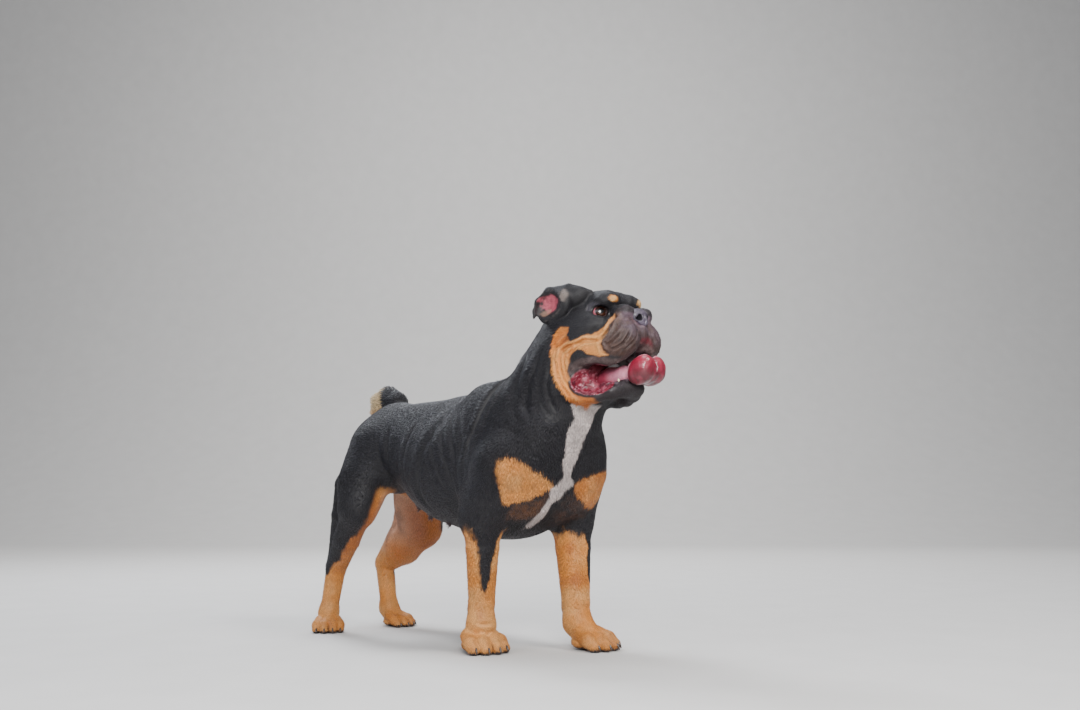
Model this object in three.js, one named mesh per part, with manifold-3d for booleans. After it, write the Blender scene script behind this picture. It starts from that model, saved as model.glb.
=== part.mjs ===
// A stocky bulldog standing with its head up, mouth open and tongue out, life size, in millimetres
import * as THREE from "three";
import { mergeVertices } from "three/addons/utils/BufferGeometryUtils.js";
import Module from "manifold-3d";

// While it is drawn x runs to the nose, y to the dog's left, z up, and the floor is at zero
const GAP = 0.3; // between neighbouring nodes
const HEAD_AT = [324, 8, 498]; // middle of the head, between the ears
const HEAD_PITCH = 10; // degrees the nose points up
const EYE_AT = [44, 30.5, 3]; // from the middle of the head
const EYE_R = 12.5;
const EYE_TURN = 38; // degrees each eye looks outwards
const LID = 1.9; // thickness of the eyelids
const CHEST_R = [172, 114, 112];
const LOIN_R = [120, 86, 76];
const RUMP_R = [64, 77, 82];
const FOREPAW = 1; // scale of a paw 72 wide
const HINDPAW = 0.79;
const CLAW_R = 3.6;
const CLAW_LONG = 11;
const TOES = [-25, -9, 9, 25];
const MIDDLE_TOE_LEAD = 9;

// Joints of the legs, side -1 for the dog's right
const FORELEGS = [
  {
    name: "r", side: -1, turn: -14, girth: 0.96,
    foot: [168, -75], heel: [164, -73, 40], wrist: [165, -73, 76],
    elbow: [184, -89, 204], shoulder: [222, -84, 278],
  },
  {
    name: "l", side: 1, turn: 4, girth: 1.06,
    foot: [267, 70], heel: [235, 69, 40], wrist: [232, 69, 72],
    elbow: [208, 86, 202], shoulder: [222, 82, 276],
  },
];
const HINDLEGS = [
  {
    name: "r", side: -1, turn: -34, girth: 0.88, knee: 28,
    foot: [-236, -78], heel: [-253, -66, 33], hock: [-240, -62, 110],
    ham: [-204, -78, 208], stifle: [-138, -91, 218], hip: [-140, -46, 325],
  },
  {
    name: "l", side: 1, turn: 12, girth: 1.32, knee: 34,
    foot: [-226, 71], heel: [-248, 67, 33], hock: [-270, 72, 113],
    ham: [-230, 80, 189], stifle: [-178, 86, 184], hip: [-148, 48, 322],
  },
];

const COLOURS = {
  coat: "#1f1c21",
  tan: "#c5854a",
  nose: "#33313a",
  tongue: "#c4475f",
  eye: "#3b2116",
  claw: "#2c2521",
  tooth: "#ddd2bb",
  earSkin: "#8a5560",
};

// Signed distances, negative inside
const RAD = Math.PI / 180;
const sides = (make) => [make(-1), make(1)];

function turned([roll, pitch, yaw]) {
  const euler = new THREE.Euler(roll * RAD, pitch * RAD, yaw * RAD, "ZYX");
  const e = new THREE.Matrix4().makeRotationFromEuler(euler).elements;
  return [e[0], e[1], e[2], e[4], e[5], e[6], e[8], e[9], e[10]];
}

function egg([cx, cy, cz], [rx, ry, rz], turn = [0, 0, 0]) {
  const m = turned(turn);
  const least = Math.min(rx, ry, rz);
  return (x, y, z) => {
    const dx = x - cx;
    const dy = y - cy;
    const dz = z - cz;
    const ux = (m[0] * dx + m[1] * dy + m[2] * dz) / rx;
    const uy = (m[3] * dx + m[4] * dy + m[5] * dz) / ry;
    const uz = (m[6] * dx + m[7] * dy + m[8] * dz) / rz;
    const k = Math.sqrt(ux * ux + uy * uy + uz * uz);
    if (k < 0.2) return least * (k - 1);
    return (k * (k - 1)) / Math.sqrt((ux / rx) ** 2 + (uy / ry) ** 2 + (uz / rz) ** 2);
  };
}

function limb([ax, ay, az, ra], [bx, by, bz, rb]) {
  const ex = bx - ax;
  const ey = by - ay;
  const ez = bz - az;
  const long = ex * ex + ey * ey + ez * ez;
  return (x, y, z) => {
    const dx = x - ax;
    const dy = y - ay;
    const dz = z - az;
    const t = Math.max(0, Math.min(1, (dx * ex + dy * ey + dz * ez) / long));
    const qx = dx - t * ex;
    const qy = dy - t * ey;
    const qz = dz - t * ez;
    return Math.sqrt(qx * qx + qy * qy + qz * qz) - (ra + (rb - ra) * t);
  };
}

function softMin(a, b, k) {
  const h = Math.max(k - Math.abs(a - b), 0) / k;
  return Math.min(a, b) - (h * h * k) / 4;
}

function blend(k, ...fields) {
  return (x, y, z) => {
    let d = fields[0](x, y, z);
    for (let i = 1; i < fields.length; i++) d = softMin(d, fields[i](x, y, z), k);
    return d;
  };
}

function carve(k, field, ...tools) {
  return (x, y, z) => {
    let d = field(x, y, z);
    for (const tool of tools) d = -softMin(-d, tool(x, y, z), k);
    return d;
  };
}

// A string of limbs through points [x, y, z, radius]
function strand(k, ...points) {
  const parts = [];
  for (let i = 1; i < points.length; i++) parts.push(limb(points[i - 1], points[i]));
  return blend(k, ...parts);
}

// A field is skipped where a ball that holds it is far away
function near([cx, cy, cz], radius, field, margin = 50) {
  return (x, y, z) => {
    const d = Math.sqrt((x - cx) ** 2 + (y - cy) ** 2 + (z - cz) ** 2) - radius;
    return d > margin ? d : field(x, y, z);
  };
}

// Head frame to dog frame and back
const headMatrix = new THREE.Matrix4()
  .makeRotationY(-HEAD_PITCH * RAD)
  .setPosition(...HEAD_AT);
const onHead = (p) => new THREE.Vector3(...p).applyMatrix4(headMatrix).toArray();

function inHead(field) {
  const m = turned([0, -HEAD_PITCH, 0]);
  return (x, y, z) => {
    const dx = x - HEAD_AT[0];
    const dy = y - HEAD_AT[1];
    const dz = z - HEAD_AT[2];
    return field(
      m[0] * dx + m[1] * dy + m[2] * dz,
      m[3] * dx + m[4] * dy + m[5] * dz,
      m[6] * dx + m[7] * dy + m[8] * dz,
    );
  };
}

// Head, in its own frame
const skull = blend(12,
  egg([-4, 0, 2], [62, 58, 48]),
  egg([26, 0, 18], [46, 48, 29]),
  ...sides((s) => egg([2, s * 44, -22], [46, 28, 42])),
  ...sides((s) => egg([-20, s * 44, -54], [40, 26, 40])),
  egg([-26, 0, -46], [52, 58, 60]),
  ...sides((s) => egg([55, s * 26, 19], [23, 20, 14])),
  ...sides((s) => egg([34, s * 42, -18], [28, 22, 18])),
  egg([66, 0, -22], [28, 28, 22]),
);

const upperMuzzle = blend(7,
  ...sides((s) => egg([67, s * 27, -45], [36, 27, 34], [0, 0, s * -8])),
  ...sides((s) => egg([56, s * 39, -58], [30, 15, 26], [0, 0, s * -20])),
  ...sides((s) => egg([26, s * 51, -56], [26, 10, 20], [0, 12, s * -14])),
  egg([82, 0, -11], [17, 27, 14]),
  egg([74, 0, -37], [26, 20, 23]),
  ...sides((s) => egg([80, s * 23, -8], [19, 14, 15])),
);

const lowerJaw = blend(8,
  ...sides((s) => strand(8,
    [-30, s * 42, -88, 30],
    [-2, s * 41, -111, 15],
    [18, s * 36, -118, 11],
    [40, s * 25, -117, 11.5],
    [56, s * 11, -115, 13],
  )),
  egg([53, 0, -115], [22, 25, 14]),
  egg([-8, 0, -98], [48, 46, 26]),
);

// Folds of loose skin from under the eye, past the muzzle and round the corner of the mouth
const faceFolds = sides((s) => blend(3,
  strand(6,
    [72, s * 27, -10, 4],
    [64, s * 37, -19, 6],
    [54, s * 43, -31, 7],
    [44, s * 48, -41, 7],
    [22, s * 54, -45, 7],
    [4, s * 58, -52, 7],
    [-9, s * 58, -68, 7],
    [-11, s * 56, -86, 7],
    [-5, s * 52, -104, 7],
    [4, s * 44, -116, 6],
  ),
  strand(6,
    [48, s * 46, -22, 6],
    [28, s * 53, -34, 6],
    [6, s * 58, -36, 6],
    [-14, s * 61, -48, 6],
    [-23, s * 61, -68, 6],
    [-23, s * 59, -90, 6],
    [-15, s * 54, -112, 6],
    [-6, s * 48, -119, 5],
  ),
));

const mouth = blend(6,
  egg([62, 0, -84], [54, 24, 19]),
  egg([26, 0, -82], [46, 40, 19]),
  ...sides((s) => egg([28, s * 48, -98], [36, 26, 20], [0, 4, 0])),
);

const eyeTurn = (s) => [0, 0, s * EYE_TURN];
const eyeFront = (s, out) => [
  EYE_AT[0] + out * Math.cos(EYE_TURN * RAD),
  s * (EYE_AT[1] + out * Math.sin(EYE_TURN * RAD)),
  EYE_AT[2],
];
const eyelids = (s) => egg(eyeFront(s, 0), [EYE_R + LID, EYE_R + LID, EYE_R + LID]);
const eyeOpening = (s) => egg(eyeFront(s, EYE_R + 1), [11, 13, 8.4], eyeTurn(s));

// Folded ear with its cup open to the side
const earFlap = (s) => blend(7,
  egg([-8, s * 65, 28], [32, 14, 25], [0, 0, s * 10]),
  egg([14, s * 52, 34], [26, 16, 18], [s * -30, 0, s * -20]),
  egg([-30, s * 72, 25], [13, 8, 20]),
  strand(5,
    [38, s * 38, 37, 5],
    [14, s * 58, 49, 7],
    [-16, s * 70, 51, 7.5],
    [-33, s * 77, 39, 6.5],
    [-40, s * 80, 26, 4.5],
    [-43, s * 82, 16, 2.5],
  ),
);
const earCup = (s) => blend(5,
  egg([-12, s * 81, 30], [23, 13, 17], [0, 0, s * 10]),
  egg([-24, s * 82, 24], [14, 10, 14]),
);

const CLOSE = 15; // a small part is left out of the sum farther away than this
const eyes = sides((s) => near(eyeFront(s, 0), 18, eyelids(s), CLOSE));
const openings = sides((s) => near(eyeFront(s, EYE_R), 14, eyeOpening(s), CLOSE));
const ears = sides((s) => near([-8, s * 66, 32], 52, earFlap(s), CLOSE));
const cups = sides((s) => near([-14, s * 82, 28], 28, earCup(s), CLOSE));
const face = blend(5, blend(9, skull, upperMuzzle, lowerJaw), ...faceFolds, ...eyes);
const hollowed = carve(5, face, mouth, egg([85, 0, 7], [12, 7, 8]));
const head = carve(3, blend(4, carve(1.2, hollowed, ...openings), ...ears), ...cups);

const nosePad = carve(1.5,
  blend(4, egg([91, 0, -13], [13, 19, 12.5]), egg([99, 0, -22], [6, 11, 8])),
  ...sides((s) => egg([104, s * 10, -18], [9, 3.8, 4.4], [s * 25, 20, s * 20])),
  egg([106, 0, -22], [4, 1.4, 12]),
);

const tongueShape = carve(3,
  blend(6,
    strand(8, [-26, 0, -92, 12], [24, 0, -90, 15], [50, 0, -94, 14], [68, 0, -100, 11]),
    ...sides((s) => egg([91, s * 13, -97], [24, 16, 20.5], [0, -24, 0])),
    egg([91, 0, -98], [21, 10, 18], [0, -24, 0]),
  ),
  egg([85, 0, -77], [19, 22, 13], [0, -24, 0]),
  egg([115, 0, -104], [6, 1.8, 20], [0, -24, 0]),
);

// Trunk, neck and tail
const trunk = blend(30,
  egg([76, 0, 298], CHEST_R, [0, 2, 0]),
  egg([-58, 0, 330], LOIN_R),
  egg([-138, 0, 328], RUMP_R),
  egg([198, 0, 292], [100, 106, 96]),
  egg([150, 0, 220], [95, 64, 50]),
  ...sides((s) => egg([240, s * 46, 262], [42, 48, 54])),
  ...sides((s) => egg([168, s * 56, 352], [62, 44, 66], [0, -20, 0])),
);

const neck = blend(24,
  limb([218, 0, 345, 84], [298, 8, 470, 66]),
  limb([256, 4, 354, 66], [286, 8, 440, 54]),
  ...sides((s) => egg([256, s * 52, 308], [42, 42, 50])),
);

const tail = strand(6,
  [-156, 6, 385, 24],
  [-162, 6, 412, 22],
  [-180, 4, 424, 19],
  [-200, 0, 418, 16],
  [-210, -3, 402, 9],
);

// A paw of four arched toes; at() places a point of it in the dog frame
const pawFrame = ({ foot, turn }, size) => (fx, fy, fz) => [
  foot[0] + (fx * Math.cos(turn * RAD) - fy * Math.sin(turn * RAD)) * size,
  foot[1] + (fx * Math.sin(turn * RAD) + fy * Math.cos(turn * RAD)) * size,
  fz * size,
];
const toeLead = (t) => (Math.abs(t) < 15 ? MIDDLE_TOE_LEAD : 0);

function paw(leg, size) {
  const at = pawFrame(leg, size);
  const toes = TOES.map((t) => strand(4 * size,
    [...at(-10, t * 0.75, 25), 12 * size],
    [...at(11 + toeLead(t), t, 16.5), 11.5 * size],
    [...at(23 + toeLead(t), t * 1.05, 8), 9.8 * size],
  ));
  return blend(3 * size,
    blend(6,
      limb([...leg.heel, 22 * size], [...at(-6, 0, 19), 21 * size]),
      egg(at(-10, 0, 12), [26 * size, 28 * size, 14 * size]),
    ),
    ...toes,
  );
}

const mix = (a, b, t) => a.map((v, i) => v + (b[i] - v) * t);

function foreleg(leg) {
  const { side, girth, heel, wrist, elbow, shoulder } = leg;
  const belly = mix(elbow, wrist, 0.35);
  return blend(12,
    blend(16,
      limb([...shoulder, 48], [...elbow, 36]),
      egg([elbow[0] - 8, elbow[1] - side * 4, elbow[2] + 45], [42, 32, 60], [0, -16, 0]),
      egg([elbow[0] - 24, elbow[1], elbow[2] + 2], [18, 20, 22]),
    ),
    strand(3,
      [...elbow, 32 * girth],
      [...belly, 27 * girth],
      [...wrist, 21.5 * girth],
      [...heel, 21],
    ),
    egg([wrist[0] - 20, wrist[1], wrist[2] - 12], [7, 8, 10]),
    paw(leg, FOREPAW),
  );
}

function hindleg(leg) {
  const { side, girth, knee, heel, hock, ham, stifle, hip } = leg;
  const calf = mix(stifle, hock, 0.5);
  return blend(12,
    blend(18,
      limb([...hip, 52], [...stifle, knee + 5]),
      egg([hip[0] - 26, hip[1] + side * 20, hip[2] - 62], [48, 34, 76], [0, 14, 0]),
      egg([stifle[0] - 6, stifle[1] - side * 4, stifle[2] + 30], [knee + 8, 32, 52], [0, -14, 0]),
    ),
    strand(4,
      [...stifle, knee],
      [...calf, 27 * girth],
      [...hock, 18],
      [...heel, 16],
    ),
    strand(4,
      [ham[0] + 8, ham[1], ham[2] + 54, 17],
      [...ham, 18],
      [hock[0] - 10, hock[1], hock[2] + 10, 10],
    ),
    paw(leg, HINDPAW),
  );
}

const body = blend(30, trunk, neck);
const headNear = near([330, 8, 480], 190, inHead(head));
const tailNear = near([-182, 3, 408], 60, tail);
const legsNear = [
  ...FORELEGS.map((leg) => near([leg.elbow[0] + 20, leg.side * 80, 150], 220, foreleg(leg))),
  ...HINDLEGS.map((leg) => near([-180, leg.side * 80, 190], 240, hindleg(leg))),
];

function dog(x, y, z) {
  let d = softMin(body(x, y, z), headNear(x, y, z), 20);
  for (const leg of legsNear) d = softMin(d, leg(x, y, z), 22);
  return softMin(d, tailNear(x, y, z), 10);
}

// Grid corners that touch only across a diagonal would pinch the net, so one between them is filled
function fillDiagonals(values, n, filled) {
  const stride = [1, n[0], n[0] * n[1]];
  const inside = (p) => values[p] < 0;
  const squares = [[0, 1], [0, 2], [1, 2]].map(([a, b]) => [stride[a], stride[b]]);
  const corners = [0, 1, 2, 3, 4, 5, 6, 7]
    .map((q) => (q & 1) * stride[0] + ((q >> 1) & 1) * stride[1] + (q >> 2) * stride[2]);
  const nearest = (spots) => spots.reduce((a, b) => (values[b] < values[a] ? b : a));
  for (let changed = true; changed;) {
    changed = false;
    for (let k = 1; k < n[2] - 2; k++) {
      for (let j = 1; j < n[1] - 2; j++) {
        for (let i = 1; i < n[0] - 2; i++) {
          const p = k * stride[2] + j * stride[1] + i;
          for (const [a, b] of squares) {
            const s = [p, p + a, p + a + b, p + b];
            const [w, x, y, z] = s.map(inside);
            if (w !== y || x !== z || w === x) continue;
            values[nearest(s.filter((v) => !inside(v)))] = filled;
            changed = true;
          }
          const all = corners.map((c) => p + c);
          const full = all.filter(inside);
          const empty = all.filter((v) => !inside(v));
          const few = full.length === 2 ? full : empty.length === 2 ? empty : null;
          if (few && few[0] + few[1] === all[0] + all[7] && all.indexOf(few[0]) + all.indexOf(few[1]) === 7) {
            values[nearest(empty)] = filled;
            changed = true;
          }
        }
      }
    }
  }
}

// Net of quads round a field, its corners pulled on to the surface
function surface(field, lo, hi, pitch) {
  const n = lo.map((v, i) => Math.ceil((hi[i] - v) / pitch) + 2);
  const at = (i, j, k) => (k * n[1] + j) * n[0] + i;
  const px = (i) => lo[0] + i * pitch;
  const py = (j) => lo[1] + j * pitch;
  const pz = (k) => lo[2] + k * pitch;
  const values = new Float32Array(n[0] * n[1] * n[2]);
  const block = 5;
  const reach = block * pitch * 0.87 + 8;
  const half = block / 2 - 0.5;
  for (let k = 0; k < n[2]; k += block) {
    for (let j = 0; j < n[1]; j += block) {
      for (let i = 0; i < n[0]; i += block) {
        const middle = field(px(i + half), py(j + half), pz(k + half));
        const far = Math.abs(middle) > reach;
        for (let c = k; c < Math.min(n[2], k + block); c++) {
          for (let b = j; b < Math.min(n[1], j + block); b++) {
            for (let a = i; a < Math.min(n[0], i + block); a++) {
              const edge = Math.min(a, b, c) < 2 || a > n[0] - 2 || b > n[1] - 2 || c > n[2] - 2;
              const d = far ? middle : field(px(a), py(b), pz(c));
              values[at(a, b, c)] = edge ? Math.max(d, pitch / 2) : d;
            }
          }
        }
      }
    }
  }
  fillDiagonals(values, n, -pitch / 50);
  const verts = [];
  const faces = [];
  const known = new Map();
  const slope = 0.3;
  function settle(x, y, z) {
    let p = [x, y, z];
    for (let pass = 0; pass < 2; pass++) {
      const d = field(...p);
      const g = [0, 1, 2].map((i) => field(...p.map((v, q) => (q === i ? v + slope : v))) - d);
      const gg = g[0] * g[0] + g[1] * g[1] + g[2] * g[2];
      if (gg < 1e-8) break;
      const step = (-d * slope) / gg;
      const long = Math.abs(step) * Math.sqrt(gg);
      const held = step * Math.min(1, (pitch * 0.35) / (long + 1e-9));
      p = p.map((v, i) => v + held * g[i]);
    }
    return p;
  }
  function corner(i, j, k) {
    const key = at(i, j, k);
    if (known.has(key)) return known.get(key);
    const sum = [0, 0, 0];
    let count = 0;
    for (let q = 0; q < 8; q++) {
      for (let axis = 0; axis < 3; axis++) {
        if (q & (1 << axis)) continue;
        const r = q | (1 << axis);
        const a = values[at(i + (q & 1), j + ((q >> 1) & 1), k + (q >> 2))];
        const b = values[at(i + (r & 1), j + ((r >> 1) & 1), k + (r >> 2))];
        if (a < 0 === b < 0) continue;
        for (let w = 0; w < 3; w++) sum[w] += (q >> w) & 1;
        sum[axis] += a / (a - b);
        count++;
      }
    }
    const p = settle(px(i + sum[0] / count), py(j + sum[1] / count), pz(k + sum[2] / count));
    known.set(key, verts.length / 3);
    verts.push(...p);
    return verts.length / 3 - 1;
  }
  const quad = (a, b, c, d, flip) => faces.push(...(flip ? [a, c, b, a, d, c] : [a, b, c, a, c, d]));
  for (let k = 1; k < n[2] - 1; k++) {
    for (let j = 1; j < n[1] - 1; j++) {
      for (let i = 1; i < n[0] - 1; i++) {
        const inside = values[at(i, j, k)] < 0;
        const c = (a, b, e) => corner(i - a, j - b, k - e);
        const crosses = (a, b, e) => values[at(i + a, j + b, k + e)] < 0 !== inside;
        if (crosses(1, 0, 0)) quad(c(0, 1, 1), c(0, 0, 1), c(0, 0, 0), c(0, 1, 0), !inside);
        if (crosses(0, 1, 0)) quad(c(1, 0, 1), c(1, 0, 0), c(0, 0, 0), c(0, 0, 1), !inside);
        if (crosses(0, 0, 1)) quad(c(1, 1, 0), c(0, 1, 0), c(0, 0, 0), c(1, 0, 0), !inside);
      }
    }
  }
  return { verts, faces };
}

// Fewer triangles: edges whose loss moves the surface least go first, down to a number or up to a distance
function simplify({ verts, faces }, { target = 4, limit = Infinity, weight = () => 1 }) {
  const count = verts.length / 3;
  const pos = Float64Array.from(verts);
  const quad = new Float64Array(count * 10);
  const stamp = new Int32Array(count);
  const dead = new Uint8Array(count);
  const tris = [];
  const ring = Array.from({ length: count }, () => new Set());
  const point = (v) => [pos[3 * v], pos[3 * v + 1], pos[3 * v + 2]];
  const cross = (a, b, c) => {
    const u = [b[0] - a[0], b[1] - a[1], b[2] - a[2]];
    const v = [c[0] - a[0], c[1] - a[1], c[2] - a[2]];
    return [u[1] * v[2] - u[2] * v[1], u[2] * v[0] - u[0] * v[2], u[0] * v[1] - u[1] * v[0]];
  };
  for (let f = 0; f < faces.length; f += 3) {
    const t = [faces[f], faces[f + 1], faces[f + 2]];
    const corners = t.map(point);
    const nrm = cross(...corners);
    const area = Math.hypot(...nrm) / 2 || 1e-9;
    const [a, b, c] = nrm.map((v) => v / (2 * area));
    const d = -(a * corners[0][0] + b * corners[0][1] + c * corners[0][2]);
    const plane = [a * a, a * b, a * c, a * d, b * b, b * c, b * d, c * c, c * d, d * d];
    for (const v of t) {
      const w = limit < Infinity ? 1 : area * weight(...point(v));
      for (let i = 0; i < 10; i++) quad[10 * v + i] += plane[i] * w;
      ring[v].add(tris.length);
    }
    tris.push(t);
  }
  let left = tris.length;
  const heap = [];
  const swap = (i, j) => ([heap[i], heap[j]] = [heap[j], heap[i]]);
  function push(entry) {
    heap.push(entry);
    let i = heap.length - 1;
    while (i > 0) {
      const up = (i - 1) >> 1;
      if (heap[up].cost <= heap[i].cost) break;
      swap(i, up);
      i = up;
    }
  }
  function pop() {
    const top = heap[0];
    const last = heap.pop();
    if (heap.length) {
      heap[0] = last;
      let i = 0;
      for (;;) {
        const l = 2 * i + 1;
        const r = l + 1;
        let least = i;
        if (l < heap.length && heap[l].cost < heap[least].cost) least = l;
        if (r < heap.length && heap[r].cost < heap[least].cost) least = r;
        if (least === i) break;
        swap(i, least);
        i = least;
      }
    }
    return top;
  }
  function offer(a, b) {
    const q = new Float64Array(10);
    for (let i = 0; i < 10; i++) q[i] = quad[10 * a + i] + quad[10 * b + i];
    const cost = ([x, y, z]) =>
      q[0] * x * x + 2 * q[1] * x * y + 2 * q[2] * x * z + 2 * q[3] * x + q[4] * y * y
      + 2 * q[5] * y * z + 2 * q[6] * y + q[7] * z * z + 2 * q[8] * z + q[9];
    const pa = point(a);
    const pb = point(b);
    const mid = mix(pa, pb, 0.5);
    const choices = [mid, pa, pb];
    const m = new THREE.Matrix3().set(q[0], q[1], q[2], q[1], q[4], q[5], q[2], q[5], q[7]);
    const size = (q[0] + q[4] + q[7]) / 3;
    if (Math.abs(m.determinant()) > 1e-4 * size ** 3) {
      const best = new THREE.Vector3(-q[3], -q[6], -q[8]).applyMatrix3(m.invert()).toArray();
      const stray = Math.hypot(best[0] - mid[0], best[1] - mid[1], best[2] - mid[2]);
      if (stray < Math.hypot(pa[0] - pb[0], pa[1] - pb[1], pa[2] - pb[2])) choices.unshift(best);
    }
    let to = choices[0];
    for (const p of choices) if (cost(p) < cost(to)) to = p;
    const long = Math.hypot(pa[0] - pb[0], pa[1] - pb[1], pa[2] - pb[2]);
    const loss = cost(to) + 1e-5 * long ** 3;
    if (loss < limit * limit) push({ cost: loss, a, b, to, sa: stamp[a], sb: stamp[b] });
  }
  const around = (v) => {
    const out = new Set();
    for (const f of ring[v]) for (const w of tris[f]) if (w !== v) out.add(w);
    return out;
  };
  function flips(v, other, to) {
    for (const f of ring[v]) {
      if (tris[f].includes(other)) continue;
      const before = tris[f].map(point);
      const after = tris[f].map((w, i) => (w === v ? to : before[i]));
      const n0 = cross(...before);
      const n1 = cross(...after);
      const l0 = Math.hypot(...n0);
      const l1 = Math.hypot(...n1);
      if (l1 < 1e-3) return true;
      if ((n0[0] * n1[0] + n0[1] * n1[1] + n0[2] * n1[2]) / (l0 * l1) < 0.3) return true;
      const edges = after.map((p, i) => Math.hypot(...p.map((c, q) => c - after[(i + 1) % 3][q])));
      if (l1 / Math.max(...edges) ** 2 < 0.06) return true;
    }
    return false;
  }
  for (let v = 0; v < count; v++) for (const w of around(v)) if (v < w) offer(v, w);
  while (left > target && heap.length) {
    const { a, b, to, sa, sb } = pop();
    if (dead[a] || dead[b] || stamp[a] !== sa || stamp[b] !== sb) continue;
    const nb = around(b);
    let shared = 0;
    for (const w of around(a)) if (nb.has(w)) shared++;
    if (shared !== 2 || flips(a, b, to) || flips(b, a, to)) continue;
    for (const f of [...ring[b]]) {
      if (tris[f].includes(a)) {
        for (const w of tris[f]) ring[w].delete(f);
        tris[f] = null;
        left--;
      } else {
        tris[f] = tris[f].map((w) => (w === b ? a : w));
        ring[a].add(f);
      }
    }
    dead[b] = 1;
    for (let i = 0; i < 3; i++) pos[3 * a + i] = to[i];
    for (let i = 0; i < 10; i++) quad[10 * a + i] += quad[10 * b + i];
    stamp[a]++;
    for (const w of around(a)) offer(a, w);
  }
  const index = new Map();
  const keptVerts = [];
  const keptFaces = [];
  for (const t of tris) {
    if (!t) continue;
    for (const v of t) {
      if (!index.has(v)) {
        index.set(v, keptVerts.length / 3);
        keptVerts.push(...point(v));
      }
      keptFaces.push(index.get(v));
    }
  }
  return { verts: keptVerts, faces: keptFaces };
}

// Solids
const wasm = await Module();
wasm.setup();

const solid = ({ verts, faces }) => new wasm.Manifold(new wasm.Mesh({
  numProp: 3,
  vertProperties: Float32Array.from(verts),
  triVerts: Uint32Array.from(faces),
}));

function netOf(geometry) {
  geometry.deleteAttribute("normal");
  geometry.deleteAttribute("uv");
  const merged = mergeVertices(geometry, 1e-4);
  return { verts: [...merged.attributes.position.array], faces: [...merged.index.array] };
}

function netOfSolid(body) {
  const { vertProperties, triVerts } = body.getMesh();
  return { verts: [...vertProperties], faces: [...triVerts] };
}

// The same net with its skin moved outwards, to cut a seat with a gap round it
function swollen({ verts, faces }, by) {
  const geometry = new THREE.BufferGeometry();
  geometry.setAttribute("position", new THREE.Float32BufferAttribute(verts, 3));
  geometry.setIndex([...faces]);
  geometry.computeVertexNormals();
  const normals = geometry.attributes.normal.array;
  return { verts: verts.map((v, i) => v + normals[i] * by), faces };
}

const ball = (centre, radii, turn = [0, 0, 0]) => (grow) => {
  const geometry = new THREE.SphereGeometry(1, 24, 16);
  geometry.scale(...radii.map((r) => r + grow));
  geometry.applyMatrix4(new THREE.Matrix4().makeRotationFromEuler(
    new THREE.Euler(turn[0] * RAD, turn[1] * RAD, turn[2] * RAD, "ZYX"),
  ));
  geometry.translate(...centre);
  return solid(netOf(geometry));
};

const block = (lo, hi, matrix = new THREE.Matrix4()) => (grow) => {
  const size = hi.map((v, i) => v - lo[i] + 2 * grow);
  const geometry = new THREE.BoxGeometry(...size);
  geometry.translate(...lo.map((v, i) => (v + hi[i]) / 2));
  geometry.applyMatrix4(matrix);
  return solid(netOf(geometry));
};

// Everything on the side of a plane that its arrow points to
const beyond = (point, arrow) => (grow) => {
  const wide = 1400;
  const geometry = new THREE.BoxGeometry(wide, wide, wide);
  geometry.translate(0, 0, wide / 2 - grow);
  const turn = new THREE.Quaternion().setFromUnitVectors(
    new THREE.Vector3(0, 0, 1),
    new THREE.Vector3(...arrow).normalize(),
  );
  geometry.applyQuaternion(turn);
  geometry.translate(...point);
  return solid(netOf(geometry));
};

const joined = (...tools) => (grow) => tools.map((tool) => tool(grow)).reduce((a, b) => a.add(b));
const both = (a, b) => (grow) => a(grow).intersect(b(grow));

function largest(body) {
  const pieces = body.decompose();
  return pieces.reduce((a, b) => (b.volume() > a.volume() ? b : a));
}

const nodes = new Map();
const keep = (name, body, colour) => nodes.set(name, { body: largest(body), colour });

// Cutting leaves slivers; they go as long as the skin moves less than this
const SLIVER = 0.18;
const tidied = (body) => simplify(netOfSolid(body), { limit: SLIVER });

// Takes a node out of a body and returns the rest of it
function take(body, tool, name, colour) {
  keep(name, body.intersect(tool(0)), colour);
  return body.subtract(tool(GAP));
}

const floor = beyond([0, 0, 0], [0, 0, 1]);
const skin = (lo, hi, pitch, target, weight) =>
  solid(simplify(surface(dog, lo, hi, pitch), { target, weight }));

// Head and neck
const NECK_CUT = beyond([215, 0, 374], [0.35, 0, 0.94]);
const faceWeight = (x) => (x > 290 ? 5 : 1);
let upper = skin([120, -115, 320], [452, 130, 575], 3, 3900, faceWeight).intersect(NECK_CUT(0));

const seats = [];
const seat = (name, net, colour) => {
  seats.push({ name, net, colour });
};
for (const [s, side] of [[-1, "r"], [1, "l"]]) {
  const geometry = new THREE.SphereGeometry(EYE_R, 12, 8);
  geometry.translate(...onHead([EYE_AT[0], s * EYE_AT[1], EYE_AT[2]]));
  seat(`eye_${side}`, netOf(geometry), COLOURS.eye);
}
const small = (field, lo, hi, pitch, target) =>
  simplify(surface(inHead(field), onHead(lo), onHead(hi), pitch), { target });
seat("nose", small(nosePad, [72, -24, -36], [112, 24, 10], 1.6, 280), COLOURS.nose);
seat("tongue", small(tongueShape, [-46, -34, -130], [122, 34, -60], 2.6, 360), COLOURS.tongue);

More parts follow.
